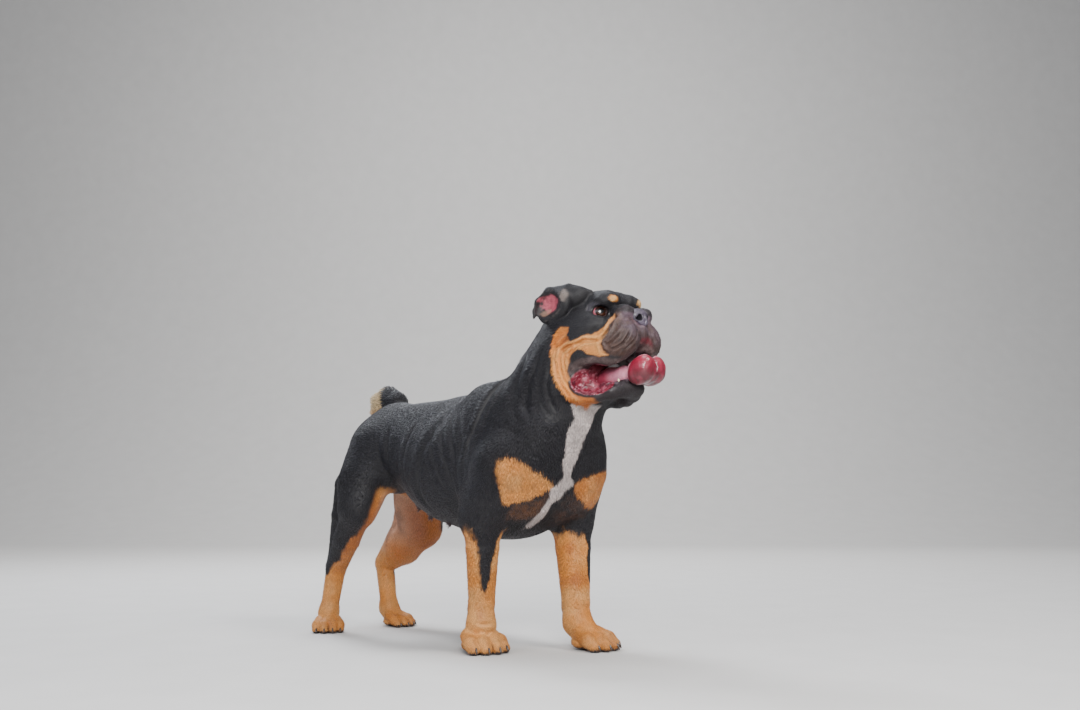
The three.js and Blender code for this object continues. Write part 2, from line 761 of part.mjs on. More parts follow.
// A cone bent along a curve, for claws and teeth
function horn(from, bend, tip, radius, around) {
  const curve = new THREE.QuadraticBezierCurve3(...[from, bend, tip].map((p) => new THREE.Vector3(...p)));
  const geometry = new THREE.CylinderGeometry(1, 1, 1, around, 3);
  const net = netOf(geometry);
  const across = new THREE.Vector3();
  const up = new THREE.Vector3();
  for (let i = 0; i < net.verts.length; i += 3) {
    const [x, y, z] = net.verts.slice(i, i + 3);
    const t = y + 0.5;
    const along = curve.getTangent(t);
    across.crossVectors(along, new THREE.Vector3(0.02, 0.03, 1)).normalize();
    up.crossVectors(across, along);
    const r = radius * (1 - 0.78 * t ** 1.3);
    const p = curve.getPoint(t).addScaledVector(across, x * r * 0.85).addScaledVector(up, z * r);
    [net.verts[i], net.verts[i + 1], net.verts[i + 2]] = p.toArray();
  }
  if (solid(net).volume() < 0) net.faces.reverse();
  return net;
}

for (const [s, side] of [[-1, "r"], [1, "l"]]) {
  const root = onHead([52, s * 19, -116]);
  const bend = onHead([55, s * 20.5, -106]);
  const tip = onHead([54, s * 22, -99]);
  seat(`tooth_${side}`, horn(root, bend, tip, 4, 7), COLOURS.tooth);
}
for (const { name, net, colour } of seats) {
  keep(name, solid(net), colour);
  upper = upper.subtract(solid(swollen(net, GAP)));
}

const HEAD_CUT = beyond(onHead([-44, 0, 20]), onHead([0.96, 0, 0.26]).map((v, i) => v - HEAD_AT[i]));
const JAW_BACK = -12;
const MOUTH_LINE = -90;
const jawBlock = block([JAW_BACK, -90, -190], [120, 90, MOUTH_LINE], headMatrix);
for (const [s, side] of [[-1, "r"], [1, "l"]]) {
  const centre = onHead([-8, s * 88, 36]);
  upper = take(upper, ball(centre, [50, 36, 36], [0, -HEAD_PITCH, 0]), `ear_${side}`, COLOURS.earSkin);
}
upper = take(upper, jawBlock, "lower_jaw", COLOURS.tan);
upper = take(upper, HEAD_CUT, "head", COLOURS.coat);
keep("neck", upper, COLOURS.coat);

// Trunk and limbs above the paws
const limbWeight = (x, y, z) => (z < 150 ? 2.5 : 1);
let lower = skin([-300, -165, 40], [330, 165, 500], 6, 2900, limbWeight).subtract(NECK_CUT(GAP));
lower = take(lower, ball([-182, 3, 430], [52, 34, 36]), "tail", COLOURS.coat);

const pawCuts = [];
for (const leg of [...FORELEGS, ...HINDLEGS]) {
  const ankle = leg.wrist ?? leg.hock;
  const spot = [ankle[0], ankle[1], leg.wrist ? 62 : 86];
  const zone = block([ankle[0] - 90, leg.side * 60 - 60, -40], [ankle[0] + 110, leg.side * 60 + 60, 130]);
  pawCuts.push({ leg, cut: both(beyond(spot, [0, 0, -1]), zone) });
}
for (const { cut } of pawCuts) lower = lower.subtract(cut(GAP));

for (const leg of FORELEGS) {
  const s = leg.side;
  const [ex, ey, ez] = leg.elbow;
  const span = (a, b) => [Math.min(s * a, s * b), Math.max(s * a, s * b)];
  const [y0, y1] = span(2, 190);
  const [y2, y3] = span(46, 190);
  const column = joined(
    block([ex - 110, y0, 40], [ex + 130, y1, 158]),
    block([ex - 52, y2, 150], [ex + 62, y3, ez + 4]),
  );
  lower = take(lower, column, `forearm_${leg.name}`, COLOURS.tan);
  const shoulder = ball([ex + 16, s * 122, ez + 62], [72, 56, 88], [0, -14, 0]);
  const arm = both(shoulder, beyond([0, 0, ez + 4 + GAP], [0, 0, 1]));
  lower = take(lower, arm, `upper_arm_${leg.name}`, COLOURS.coat);
}

for (const leg of HINDLEGS) {
  const s = leg.side;
  const [sx, , sz] = leg.stifle;
  const [y0, y1] = s > 0 ? [2, 190] : [-190, -2];
  const low = block([-330, y0, 40], [sx + 70, y1, sz - 20]);
  lower = take(lower, low, `shank_${leg.name}`, COLOURS.tan);
  const ham = joined(
    ball([leg.hip[0] + 14, s * 104, leg.hip[2] - 66], [88, 64, 96]),
    block([-330, s > 0 ? 38 : -190, sz - 20 + GAP], [sx + 46, s > 0 ? 190 : -38, sz + 10]),
  );
  lower = take(lower, both(ham, beyond([0, 0, sz - 20 + GAP], [0, 0, 1])), `thigh_${leg.name}`, COLOURS.coat);
}

lower = take(lower, beyond([-112, 0, 330], [-1, 0, 0.1]), "rump", COLOURS.coat);
lower = take(lower, beyond([-12, 0, 320], [-1, 0, 0.2]), "loin", COLOURS.coat);
keep("chest", lower, COLOURS.coat);

// Paws and claws
for (const { leg, cut } of pawCuts) {
  const fore = Boolean(leg.wrist);
  const size = fore ? FOREPAW : HINDPAW;
  const [ax, ay] = leg.wrist ?? leg.hock;
  const label = fore ? "front" : "hind";
  const lo = [Math.min(leg.foot[0], ax) - 56, leg.foot[1] - 52, -14];
  const hi = [Math.max(leg.foot[0], ax) + 60, leg.foot[1] + 52, fore ? 76 : 100];
  let foot = skin(lo, hi, 2.6, fore ? 430 : 370).intersect(cut(0)).intersect(floor(0));
  const at = pawFrame(leg, size);
  const claws = TOES.map((t, i) => {
    const lead = toeLead(t);
    const root = at(24 + lead, t * 1.05, 11.5);
    const bend = at(25 + lead + CLAW_LONG * 0.75, t * 1.08, 12.5);
    const tip = at(27 + lead + CLAW_LONG, t * 1.1, 2.6);
    return { name: `claw_${label}_${leg.name}_${i + 1}`, net: horn(root, bend, tip, CLAW_R * size, 6) };
  });
  for (const { name, net } of claws) {
    keep(name, solid(net), COLOURS.claw);
    foot = foot.subtract(solid(swollen(net, GAP)));
  }
  keep(`${label}_paw_${leg.name}`, foot, COLOURS.tan);
}

// The model stands on the middle of its own outline
const model = new THREE.Group();
model.name = "bulldog";
const bounds = new THREE.Box3();
for (const { body } of nodes.values()) {
  const { min, max } = body.boundingBox();
  bounds.expandByPoint(new THREE.Vector3(...min));
  bounds.expandByPoint(new THREE.Vector3(...max));
}
const middle = bounds.getCenter(new THREE.Vector3());
for (const [name, { body, colour }] of nodes) {
  const { verts, faces } = tidied(body);
  const geometry = new THREE.BufferGeometry();
  geometry.setAttribute("position", new THREE.Float32BufferAttribute(verts, 3));
  geometry.setIndex(faces);
  geometry.translate(-middle.x, -middle.y, -bounds.min.z);
  geometry.computeVertexNormals();
  const mesh = new THREE.Mesh(geometry, new THREE.MeshStandardMaterial({ color: colour, roughness: 0.7 }));
  mesh.name = name;
  model.add(mesh);
}

export default model;
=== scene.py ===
import math

import bpy
import numpy as np
from mathutils import Matrix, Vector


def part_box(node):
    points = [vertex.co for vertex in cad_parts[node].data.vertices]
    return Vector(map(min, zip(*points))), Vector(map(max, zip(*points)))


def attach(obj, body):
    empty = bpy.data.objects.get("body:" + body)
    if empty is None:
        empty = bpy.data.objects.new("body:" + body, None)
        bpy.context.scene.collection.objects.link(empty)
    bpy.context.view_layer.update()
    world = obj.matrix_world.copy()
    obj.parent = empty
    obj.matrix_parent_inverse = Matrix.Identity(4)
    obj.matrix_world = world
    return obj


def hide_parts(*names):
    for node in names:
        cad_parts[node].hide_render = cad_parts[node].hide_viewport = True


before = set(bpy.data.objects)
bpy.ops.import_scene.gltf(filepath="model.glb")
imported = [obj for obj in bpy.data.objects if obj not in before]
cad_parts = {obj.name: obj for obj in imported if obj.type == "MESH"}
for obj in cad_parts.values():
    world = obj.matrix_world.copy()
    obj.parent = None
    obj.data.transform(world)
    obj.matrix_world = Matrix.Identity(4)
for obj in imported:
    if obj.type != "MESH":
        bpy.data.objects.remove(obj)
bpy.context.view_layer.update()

# All shapes are drawn in the dog's own frame, in millimetres: x to the nose, y to its left, z up
HEAD_AT = np.array([324.0, 8.0, 498.0])
HEAD_PITCH = 10
EYE_AT = np.array([44.0, 30.5, 3.0])
EYE_R = 12.5
EYE_TURN = 38
LID = 1.9
COAT = 0.8  # depth of the coat over the skin
FOREPAW, HINDPAW = 1.0, 0.79
CLAW_R, CLAW_LONG = 3.6, 11
TOES = [-25, -9, 9, 25]
FORELEGS = [
    dict(name="r", side=-1, turn=-14, girth=0.96, foot=[168, -75], heel=[164, -73, 40], wrist=[165, -73, 76],
         elbow=[184, -89, 204], shoulder=[222, -84, 278]),
    dict(name="l", side=1, turn=4, girth=1.06, foot=[267, 70], heel=[235, 69, 40], wrist=[232, 69, 72],
         elbow=[208, 86, 202], shoulder=[222, 82, 276]),
]
HINDLEGS = [
    dict(name="r", side=-1, turn=-34, girth=0.88, knee=28, foot=[-236, -78], heel=[-253, -66, 33],
         hock=[-240, -62, 110], ham=[-204, -78, 208], stifle=[-138, -91, 218], hip=[-140, -46, 325]),
    dict(name="l", side=1, turn=12, girth=1.32, knee=34, foot=[-226, 71], heel=[-248, 67, 33],
         hock=[-270, 72, 113], ham=[-230, 80, 189], stifle=[-178, 86, 184], hip=[-148, 48, 322]),
]


# Distances, negative inside
def turning(turn):
    r, p, w = (math.radians(v) for v in turn)
    rx = np.array([[1, 0, 0], [0, math.cos(r), -math.sin(r)], [0, math.sin(r), math.cos(r)]])
    ry = np.array([[math.cos(p), 0, math.sin(p)], [0, 1, 0], [-math.sin(p), 0, math.cos(p)]])
    rz = np.array([[math.cos(w), -math.sin(w), 0], [math.sin(w), math.cos(w), 0], [0, 0, 1]])
    return rz @ ry @ rx


def egg(c, r, turn=(0, 0, 0)):
    """An ellipsoid about c with radii r."""
    c, r, m = np.array(c, float), np.array(r, float), turning(turn)

    def f(p):
        u = (p - c) @ m / r
        k = np.sqrt((u * u).sum(1))
        v = u / r
        return np.where(k < 0.2, r.min() * (k - 1), k * (k - 1) / (np.sqrt((v * v).sum(1)) + 1e-12))
    return f


def limb(a, b):
    """A round bar between two points, each given as x, y, z, radius."""
    a, b = np.array(a, float), np.array(b, float)
    e = b[:3] - a[:3]
    long = e @ e

    def f(p):
        d = p - a[:3]
        t = np.clip(d @ e / long, 0, 1)
        q = d - t[:, None] * e
        return np.sqrt((q * q).sum(1)) - (a[3] + (b[3] - a[3]) * t)
    return f


def soft_min(a, b, k):
    h = np.maximum(k - np.abs(a - b), 0) / k
    return np.minimum(a, b) - h * h * k / 4


def blend(k, *fields):
    def f(p):
        d = fields[0](p)
        for g in fields[1:]:
            d = soft_min(d, g(p), k)
        return d
    return f


def carve(k, field, *tools):
    def f(p):
        d = field(p)
        for g in tools:
            d = -soft_min(-d, g(p), k)
        return d
    return f


def strand(k, *points):
    return blend(k, *[limb(a, b) for a, b in zip(points, points[1:])])


def near(c, radius, field, margin=40):
    """The field close to c, and the distance to a ball round it elsewhere, which is quicker."""
    c = np.array(c, float)

    def f(p):
        q = p - c
        d = np.sqrt((q * q).sum(1)) - radius
        m = d <= margin
        if m.any():
            d[m] = field(p[m])
        return d
    return f


def sides(make):
    return [make(-1), make(1)]


HEAD_TURN = turning((0, -HEAD_PITCH, 0))


def to_head(p):
    return (p - HEAD_AT) @ HEAD_TURN


def from_head(h):
    return np.asarray(h, float) @ HEAD_TURN.T + HEAD_AT


# Head, in its own frame
skull = blend(
    12, egg([-4, 0, 2], [62, 58, 48]), egg([26, 0, 18], [46, 48, 29]),
    *sides(lambda s: egg([2, s * 44, -22], [46, 28, 42])),
    *sides(lambda s: egg([-20, s * 44, -54], [40, 26, 40])),
    egg([-26, 0, -46], [52, 58, 60]), *sides(lambda s: egg([55, s * 26, 19], [23, 20, 14])),
    *sides(lambda s: egg([34, s * 42, -18], [28, 22, 18])), egg([66, 0, -22], [28, 28, 22]))
upper_muzzle = blend(
    7, *sides(lambda s: egg([67, s * 27, -45], [36, 27, 34], [0, 0, s * -8])),
    *sides(lambda s: egg([56, s * 39, -58], [30, 15, 26], [0, 0, s * -20])),
    *sides(lambda s: egg([26, s * 51, -56], [26, 10, 20], [0, 12, s * -14])), egg([82, 0, -11], [17, 27, 14]),
    egg([74, 0, -37], [26, 20, 23]),
    *sides(lambda s: egg([80, s * 23, -8], [19, 14, 15])))
lower_jaw = blend(
    8, *sides(lambda s: strand(8, [-30, s * 42, -88, 30], [-2, s * 41, -111, 15], [18, s * 36, -118, 11],
                               [40, s * 25, -117, 11.5], [56, s * 11, -115, 13])),
    egg([53, 0, -115], [22, 25, 14]), egg([-8, 0, -98], [48, 46, 26]))
face_folds = sides(lambda s: blend(
    3,
    strand(6, [72, s * 27, -10, 4], [64, s * 37, -19, 6], [54, s * 43, -31, 7], [44, s * 48, -41, 7],
           [22, s * 54, -45, 7], [4, s * 58, -52, 7], [-9, s * 58, -68, 7], [-11, s * 56, -86, 7],
           [-5, s * 52, -104, 7], [4, s * 44, -116, 6]),
    strand(6, [48, s * 46, -22, 6], [28, s * 53, -34, 6], [6, s * 58, -36, 6], [-14, s * 61, -48, 6],
           [-23, s * 61, -68, 6], [-23, s * 59, -90, 6], [-15, s * 54, -112, 6], [-6, s * 48, -119, 5])))
mouth = blend(6, egg([62, 0, -84], [54, 24, 19]), egg([26, 0, -82], [46, 40, 19]),
              *sides(lambda s: egg([28, s * 48, -98], [36, 26, 20], [0, 4, 0])))


def eye_front(s, out):
    """Point on the axis of the eye on side s, so far out from its centre."""
    a = math.radians(EYE_TURN)
    return [EYE_AT[0] + out * math.cos(a), s * (EYE_AT[1] + out * math.sin(a)), EYE_AT[2]]


def ear_flap(s):
    return blend(7, egg([-8, s * 65, 28], [32, 14, 25], [0, 0, s * 10]),
                 egg([14, s * 52, 34], [26, 16, 18], [s * -30, 0, s * -20]),
                 egg([-30, s * 72, 25], [13, 8, 20]),
                 strand(5, [38, s * 38, 37, 5], [14, s * 58, 49, 7], [-16, s * 70, 51, 7.5],
                        [-33, s * 77, 39, 6.5], [-40, s * 80, 26, 4.5], [-43, s * 82, 16, 2.5]))


def ear_cup(s):
    return blend(5, egg([-12, s * 81, 30], [23, 13, 17], [0, 0, s * 10]),
                 egg([-24, s * 82, 24], [14, 10, 14]))


eyelids = sides(lambda s: near(eye_front(s, 0), 18, egg(eye_front(s, 0), [EYE_R + LID] * 3), 15))
openings = sides(lambda s: near(
    eye_front(s, EYE_R), 14, egg(eye_front(s, EYE_R + 1), [11, 13, 8.4], [0, 0, s * EYE_TURN]), 15))
ears = sides(lambda s: near([-8, s * 66, 32], 52, ear_flap(s), 15))
cups = sides(lambda s: near([-14, s * 82, 28], 28, ear_cup(s), 15))
nostrils = sides(lambda s: blend(2, egg([103, s * 9, -18.5], [12, 3.5, 4.8], [s * 12, 20, s * 6]),
                                 egg([101, s * 13, -20], [5, 4, 1.2], [s * 35, 0, s * 35])))
face = blend(5, blend(9, skull, upper_muzzle, lower_jaw), *face_folds, *eyelids)
hollowed = carve(5, face, mouth, egg([85, 0, 7], [12, 7, 8]))
head = carve(3, blend(4, carve(1.2, hollowed, *openings), *ears), *cups)
head = carve(1, head, *[near([98, s * 10, -18], 18, g, 15) for s, g in zip((-1, 1), nostrils)])
nose_pad = carve(1.5, blend(4, egg([91, 0, -13], [13, 19, 12.5]), egg([99, 0, -22], [6, 11, 8])),
                 *nostrils, egg([106, 0, -22], [4, 1.4, 12]))
tongue_shape = carve(
    3, blend(6, strand(8, [-26, 0, -92, 12], [24, 0, -90, 15], [50, 0, -94, 14], [68, 0, -100, 11]),
             *sides(lambda s: egg([91, s * 13, -97], [24, 16, 20.5], [0, -24, 0])),
             egg([91, 0, -98], [21, 10, 18], [0, -24, 0])),
    egg([83, 0, -76], [23, 24, 16], [0, -24, 0]), egg([115, 0, -104], [6, 1.8, 20], [0, -24, 0]))

# Trunk, neck, tail and legs
trunk = blend(
    30, egg([76, 0, 298], [172, 114, 112], [0, 2, 0]), egg([-58, 0, 330], [120, 86, 76]),
    egg([-138, 0, 328], [64, 77, 82]), egg([198, 0, 292], [100, 106, 96]), egg([150, 0, 220], [95, 64, 50]),
    *sides(lambda s: egg([240, s * 46, 262], [42, 48, 54])),
    *sides(lambda s: egg([168, s * 56, 352], [62, 44, 66], [0, -20, 0])))
neck = blend(24, limb([218, 0, 345, 84], [298, 8, 470, 66]), limb([256, 4, 354, 66], [286, 8, 440, 54]),
             *sides(lambda s: egg([256, s * 52, 308], [42, 42, 50])))
TAIL = [[-156, 6, 385, 24], [-162, 6, 412, 22], [-180, 4, 424, 19], [-200, 0, 418, 16], [-210, -3, 402, 9]]


def mix(a, b, t):
    return [u + (v - u) * t for u, v in zip(a, b)]


def paw_frame(leg, size):
    c, n = math.cos(math.radians(leg["turn"])), math.sin(math.radians(leg["turn"]))
    x, y = leg["foot"]
    return lambda fx, fy, fz: [x + (fx * c - fy * n) * size, y + (fx * n + fy * c) * size, fz * size]


def toe_lead(t):
    return 9 if abs(t) < 15 else 0


def paw(leg, size):
    at = paw_frame(leg, size)
    toes = [strand(4 * size, [*at(-10, t * 0.75, 25), 12 * size],
                   [*at(11 + toe_lead(t), t, 16.5), 11.5 * size],
                   [*at(23 + toe_lead(t), t * 1.05, 8), 9.8 * size]) for t in TOES]
    return blend(3 * size, blend(6, limb([*leg["heel"], 22 * size], [*at(-6, 0, 19), 21 * size]),
                                 egg(at(-10, 0, 12), [26 * size, 28 * size, 14 * size])), *toes)


def foreleg(leg):
    s, g, heel, wrist, elbow = leg["side"], leg["girth"], leg["heel"], leg["wrist"], leg["elbow"]
    return blend(
        12, blend(16, limb([*leg["shoulder"], 48], [*elbow, 36]),
                  egg([elbow[0] - 8, elbow[1] - s * 4, elbow[2] + 45], [42, 32, 60], [0, -16, 0]),
                  egg([elbow[0] - 24, elbow[1], elbow[2] + 2], [18, 20, 22])),
        strand(3, [*elbow, 32 * g], [*mix(elbow, wrist, 0.35), 27 * g], [*wrist, 21.5 * g], [*heel, 21]),
        egg([wrist[0] - 20, wrist[1], wrist[2] - 12], [7, 8, 10]), near(heel, 80, paw(leg, FOREPAW)))


def hindleg(leg):
    s, g, heel, hock = leg["side"], leg["girth"], leg["heel"], leg["hock"]
    knee, ham, stifle, hip = leg["knee"], leg["ham"], leg["stifle"], leg["hip"]
    return blend(
        12, blend(18, limb([*hip, 52], [*stifle, knee + 5]),
                  egg([hip[0] - 26, hip[1] + s * 20, hip[2] - 62], [48, 34, 76], [0, 14, 0]),
                  egg([stifle[0] - 6, stifle[1] - s * 4, stifle[2] + 30], [knee + 8, 32, 52], [0, -14, 0])),
        strand(4, [*stifle, knee], [*mix(stifle, hock, 0.5), 27 * g], [*hock, 18], [*heel, 16]),
        strand(4, [ham[0] + 8, ham[1], ham[2] + 54, 17], [*ham, 18],
               [hock[0] - 10, hock[1], hock[2] + 10, 10]),
        near(heel, 70, paw(leg, HINDPAW)))


body = blend(30, trunk, neck)
head_near = near([330, 8, 480], 190, lambda p: head(to_head(p)))
legs_near = [near([g["elbow"][0] + 20, g["side"] * 80, 150], 220, foreleg(g)) for g in FORELEGS]
legs_near += [near([-180, g["side"] * 80, 190], 240, hindleg(g)) for g in HINDLEGS]
tail_near = near([-182, 3, 408], 60, strand(6, *TAIL))
TEATS = [(-30, 40), (6, 44), (52, 42), (108, 44)]


def teat(x, y):
    z = 150.0
    while trunk(np.array([[x, y, z]]))[0] > 0:
        z += 1
    return near([x, y, z], 14, strand(2, [x, y, z + 3, 6], [x, y, z - 3, 3.2], [x, y, z - 7, 2.2]), 10)


teats = [teat(x, s * y) for x, y in TEATS for s in (-1, 1)]


def dog(p):
    d = soft_min(body(p), head_near(p), 20)
    for leg in legs_near:
        d = soft_min(d, leg(p), 22)
    for t in teats:
        d = soft_min(d, t(p), 4)
    return soft_min(d, tail_near(p), 10) + COAT


# Net of quads round a distance field, on a grid that is finer where the shape needs it
def steps(*spans):
    out = [np.array([spans[0][0]])]
    for lo, hi, pitch in spans:
        n = max(1, round((hi - lo) / pitch))
        out.append(lo + (hi - lo) * np.arange(1, n + 1) / n)
    return np.concatenate(out).astype(float)


def in_parts(field, p, size=30_000):
    return np.concatenate([field(p[i:i + size]) for i in range(0, len(p), size)])


def net(field, xs, ys, zs, block=5, margin=8, passes=3):
    """Points and quads of the surface where the field is zero."""
    axes = [xs, ys, zs]
    n = [len(a) for a in axes]
    value = np.empty(n, np.float32)
    starts = [np.arange(0, m, block) for m in n]
    mids = [np.array([a[s:s + block].mean() for s in st]) for a, st in zip(axes, starts)]
    halves = [np.array([np.ptp(a[s:s + block]) / 2 for s in st]) for a, st in zip(axes, starts)]
    grid = np.stack(np.meshgrid(*mids, indexing="ij"), -1).reshape(-1, 3)
    reach = np.sqrt(sum(h ** 2 for h in np.meshgrid(*halves, indexing="ij"))).ravel() * 1.1 + margin
    middle = in_parts(field, grid)
    full = middle.reshape([len(s) for s in starts])
    for ax in range(3):
        full = np.repeat(full, block, ax)
    value[:] = full[:n[0], :n[1], :n[2]]
    ids = np.stack(np.meshgrid(*starts, indexing="ij"), -1).reshape(-1, 3)[np.abs(middle) < reach]
    off = np.stack(np.meshgrid(*[np.arange(block)] * 3, indexing="ij"), -1).reshape(-1, 3)
    spots = (ids[:, None] + off[None]).reshape(-1, 3)
    spots = spots[(spots < n).all(1)]
    place = np.stack([a[spots[:, i]] for i, a in enumerate(axes)], 1)
    value[tuple(spots.T)] = in_parts(field, place)
    sign = value < 0
    cells, points, quads, flips = [], [], [], []
    strides = np.array([n[1] * n[2], n[2], 1])
    for ax in range(3):
        lo = [slice(None)] * 3
        hi = [slice(None)] * 3
        lo[ax], hi[ax] = slice(0, -1), slice(1, None)
        edge = np.stack(np.nonzero(sign[tuple(lo)] != sign[tuple(hi)]), 1)
        other = [i for i in range(3) if i != ax]
        edge = edge[(edge[:, other[0]] > 0) & (edge[:, other[1]] > 0)]
        to = edge.copy()
        to[:, ax] += 1
        va, vb = value[tuple(edge.T)], value[tuple(to.T)]
        p = np.stack([a[edge[:, i]] for i, a in enumerate(axes)], 1)
        p[:, ax] += (axes[ax][to[:, ax]] - p[:, ax]) * (va / (va - vb))
        home = edge @ strides
        u, v = strides[other[0]], strides[other[1]]
        ring = np.stack([home - u - v, home - v, home, home - u], 1)
        cells.append(ring)
        points.append(np.repeat(p, 4, 0))
        flips.append((va < 0) ^ (ax == 1))
    rings = np.concatenate(cells)
    points, flips = np.concatenate(points), np.concatenate(flips)
    index = np.unique(rings.ravel(), return_inverse=True)[1]
    count = np.bincount(index).astype(float)
    v = np.stack([np.bincount(index, points[:, i]) / count for i in range(3)], 1)
    quads = index.reshape(-1, 4)
    quads[~flips] = quads[~flips][:, ::-1]
    return settle(field, v, passes), quads


def slopes(field, p, d=None, h=0.3):
    d = in_parts(field, p) if d is None else d
    return np.stack([(in_parts(field, p + h * np.eye(3)[i]) - d) / h for i in range(3)], 1)


def settle(field, v, passes, most=1.2):
    """Moves the points onto the surface."""
    for _ in range(passes):
        d = in_parts(field, v)
        g = slopes(field, v, d)
        gg = (g * g).sum(1) + 1e-9
        step = -d[:, None] * g / gg[:, None]
        long = np.sqrt((step * step).sum(1)) + 1e-9
        v = v + step * np.minimum(1, most / long)[:, None]
    return v


def normals_of(v, quads):
    n = np.cross(v[quads[:, 2]] - v[quads[:, 0]], v[quads[:, 3]] - v[quads[:, 1]])
    out = np.stack([np.bincount(quads.ravel(), np.repeat(n[:, i], 4), len(v)) for i in range(3)], 1)
    return out / (np.linalg.norm(out, axis=1, keepdims=True) + 1e-12)


# Masks and noise
def ease(lo, hi, x):
    t = np.clip((x - lo) / (hi - lo), 0, 1)
    return t * t * (3 - 2 * t)


def noise(p, size, seed=0):
    q = np.asarray(p) / size + seed * 17.3
    i = np.floor(q).astype(np.int64)
    f = q - i
    f = f * f * (3 - 2 * f)
    out = np.zeros(len(q))
    for corner in range(8):
        b = np.array([corner & 1, corner >> 1 & 1, corner >> 2])
        c = i + b
        h = (c[:, 0] * 73856093 ^ c[:, 1] * 19349663 ^ c[:, 2] * 83492791 ^ (seed + 1) * 2654435) & 0x7fffffff
        h = (h ^ h >> 13) * 1274126177 & 0x7fffffff
        out += ((h ^ h >> 16) & 0xffff) / 32767.5 * np.prod(np.where(b, f, 1 - f), 1)
    return out - 1


def ragged(p, size, seed=0):
    return noise(p, size, seed) + 0.5 * noise(p, size / 2.3, seed + 7)


def outline(points, u, v):
    """Distance to the edge of a polygon, positive inside it."""
    a = np.array(points, float)
    b = np.roll(a, -1, 0)
    best = np.full(len(u), 1e9)
    odd = np.zeros(len(u), bool)
    for (ax, ay), (bx, by) in zip(a, b):
        ex, ey = bx - ax, by - ay
        t = np.clip(((u - ax) * ex + (v - ay) * ey) / (ex * ex + ey * ey), 0, 1)
        best = np.minimum(best, (u - ax - t * ex) ** 2 + (v - ay - t * ey) ** 2)
        if ay != by:
            odd ^= ((ay > v) != (by > v)) & (u < ax + (v - ay) * ex / ey)
    return np.sqrt(best) * np.where(odd, 1, -1)


def to_line(p, points):
    """Distance to a bent line, and how far along it, 0 to 1."""
    a = np.array(points, float)
    best, along = np.full(len(p), 1e9), np.zeros(len(p))
    for i, (s, t) in enumerate(zip(a, a[1:])):
        e = t - s
        w = np.clip((p - s) @ e / (e @ e), 0, 1)
        d = np.sqrt(((p - s - w[:, None] * e) ** 2).sum(1))
        closer = d < best
        best = np.where(closer, d, best)
        along = np.where(closer, (i + w) / (len(a) - 1), along)
    return best, along


def both_sides(p):
    return np.stack([p[:, 0], -np.abs(p[:, 1]), p[:, 2]], 1)


# Folds and creases that the skin adds: (points, half width, depth)
FACE_CREASES = [
    ([(84, -24, -14), (76, -47, -30), (67, -54, -42), (57, -56, -46), (43, -58, -43), (32, -62, -40),
      (14, -67, -48), (0, -69, -57)], 2.3, 3.8),
    ([(32, -62, -40), (22, -66, -42), (6, -69, -43), (-5, -71, -46), (-12, -71, -57), (-14, -69, -74),
      (-12, -66, -93), (-4, -60, -113), (10, -48, -126)], 2.3, 3.6),
    ([(1, -70, -49), (-6, -70, -60), (-8, -67, -78), (-6, -64, -95), (2, -59, -114),
      (12, -50, -122)], 1.9, 3.0),
    ([(-12, -73, -34), (-19, -73, -56), (-20, -71, -80), (-16, -66, -100), (-9, -59, -118)], 2.4, 2.6),
    ([(12, -70, -30), (0, -72, -33), (-10, -73, -40)], 2.5, 1.4),
    ([(66, -28, -4), (60, -40, -9), (52, -50, -11), (40, -56, -9)], 1.8, 1.5),
    ([(70, -30, -10), (62, -42, -17), (50, -52, -20), (36, -58, -18)], 2.2, 1.3),
    ([(80, -25, -6), (77, -43, -21), (71, -51, -35), (61, -54, -42), (57, -55, -51), (58, -54, -62),
      (67, -50, -69)], 2.3, 3.2),
    ([(93, -38, -34), (86, -47, -46), (77, -52, -53), (68, -53, -55), (63, -54, -50)], 1.5, 1.9),
    ([(99, -30, -36), (97, -38, -49), (89, -43, -59), (79, -47, -63), (69, -50, -63)], 1.5, 1.9),
    ([(95, -24, -26), (90, -36, -33), (82, -44, -40), (74, -49, -47)], 1.4, 1.7),
    ([(102, -20, -38), (101, -26, -52), (95, -34, -62), (86, -40, -69)], 1.4, 1.6),
    ([(101, -11, -34), (101, -15, -48), (98, -20, -60)], 1.3, 0.9),
    ([(86, -20, -4), (83, -34, -18), (79, -42, -27)], 1.5, 1.2),
    ([(104, 0, -30), (101, 0, -42), (96, 0, -54), (92, 0, -62)], 1.2, 1.1),
    ([(56, -22, 30), (66, -20, 26), (76, -17, 18)], 2.5, 1.5),
    ([(60, -34, 24), (70, -34, 20), (77, -32, 13)], 1.8, 0.9),
    ([(36, -50, 5), (40, -49, 15), (50, -45, 19), (60, -40, 17), (68, -35, 11)], 1.6, 1.7),
    ([(40, -49, -14), (52, -47, -16), (62, -40, -12), (68, -34, -5)], 1.5, 1.0),
    ([(38, -2, 46), (56, -3, 38), (72, -5, 26), (80, -7, 14)], 3.0, 1.6),
    ([(26, -52, -128), (42, -42, -131), (56, -28, -134)], 2.0, 0.9),
]
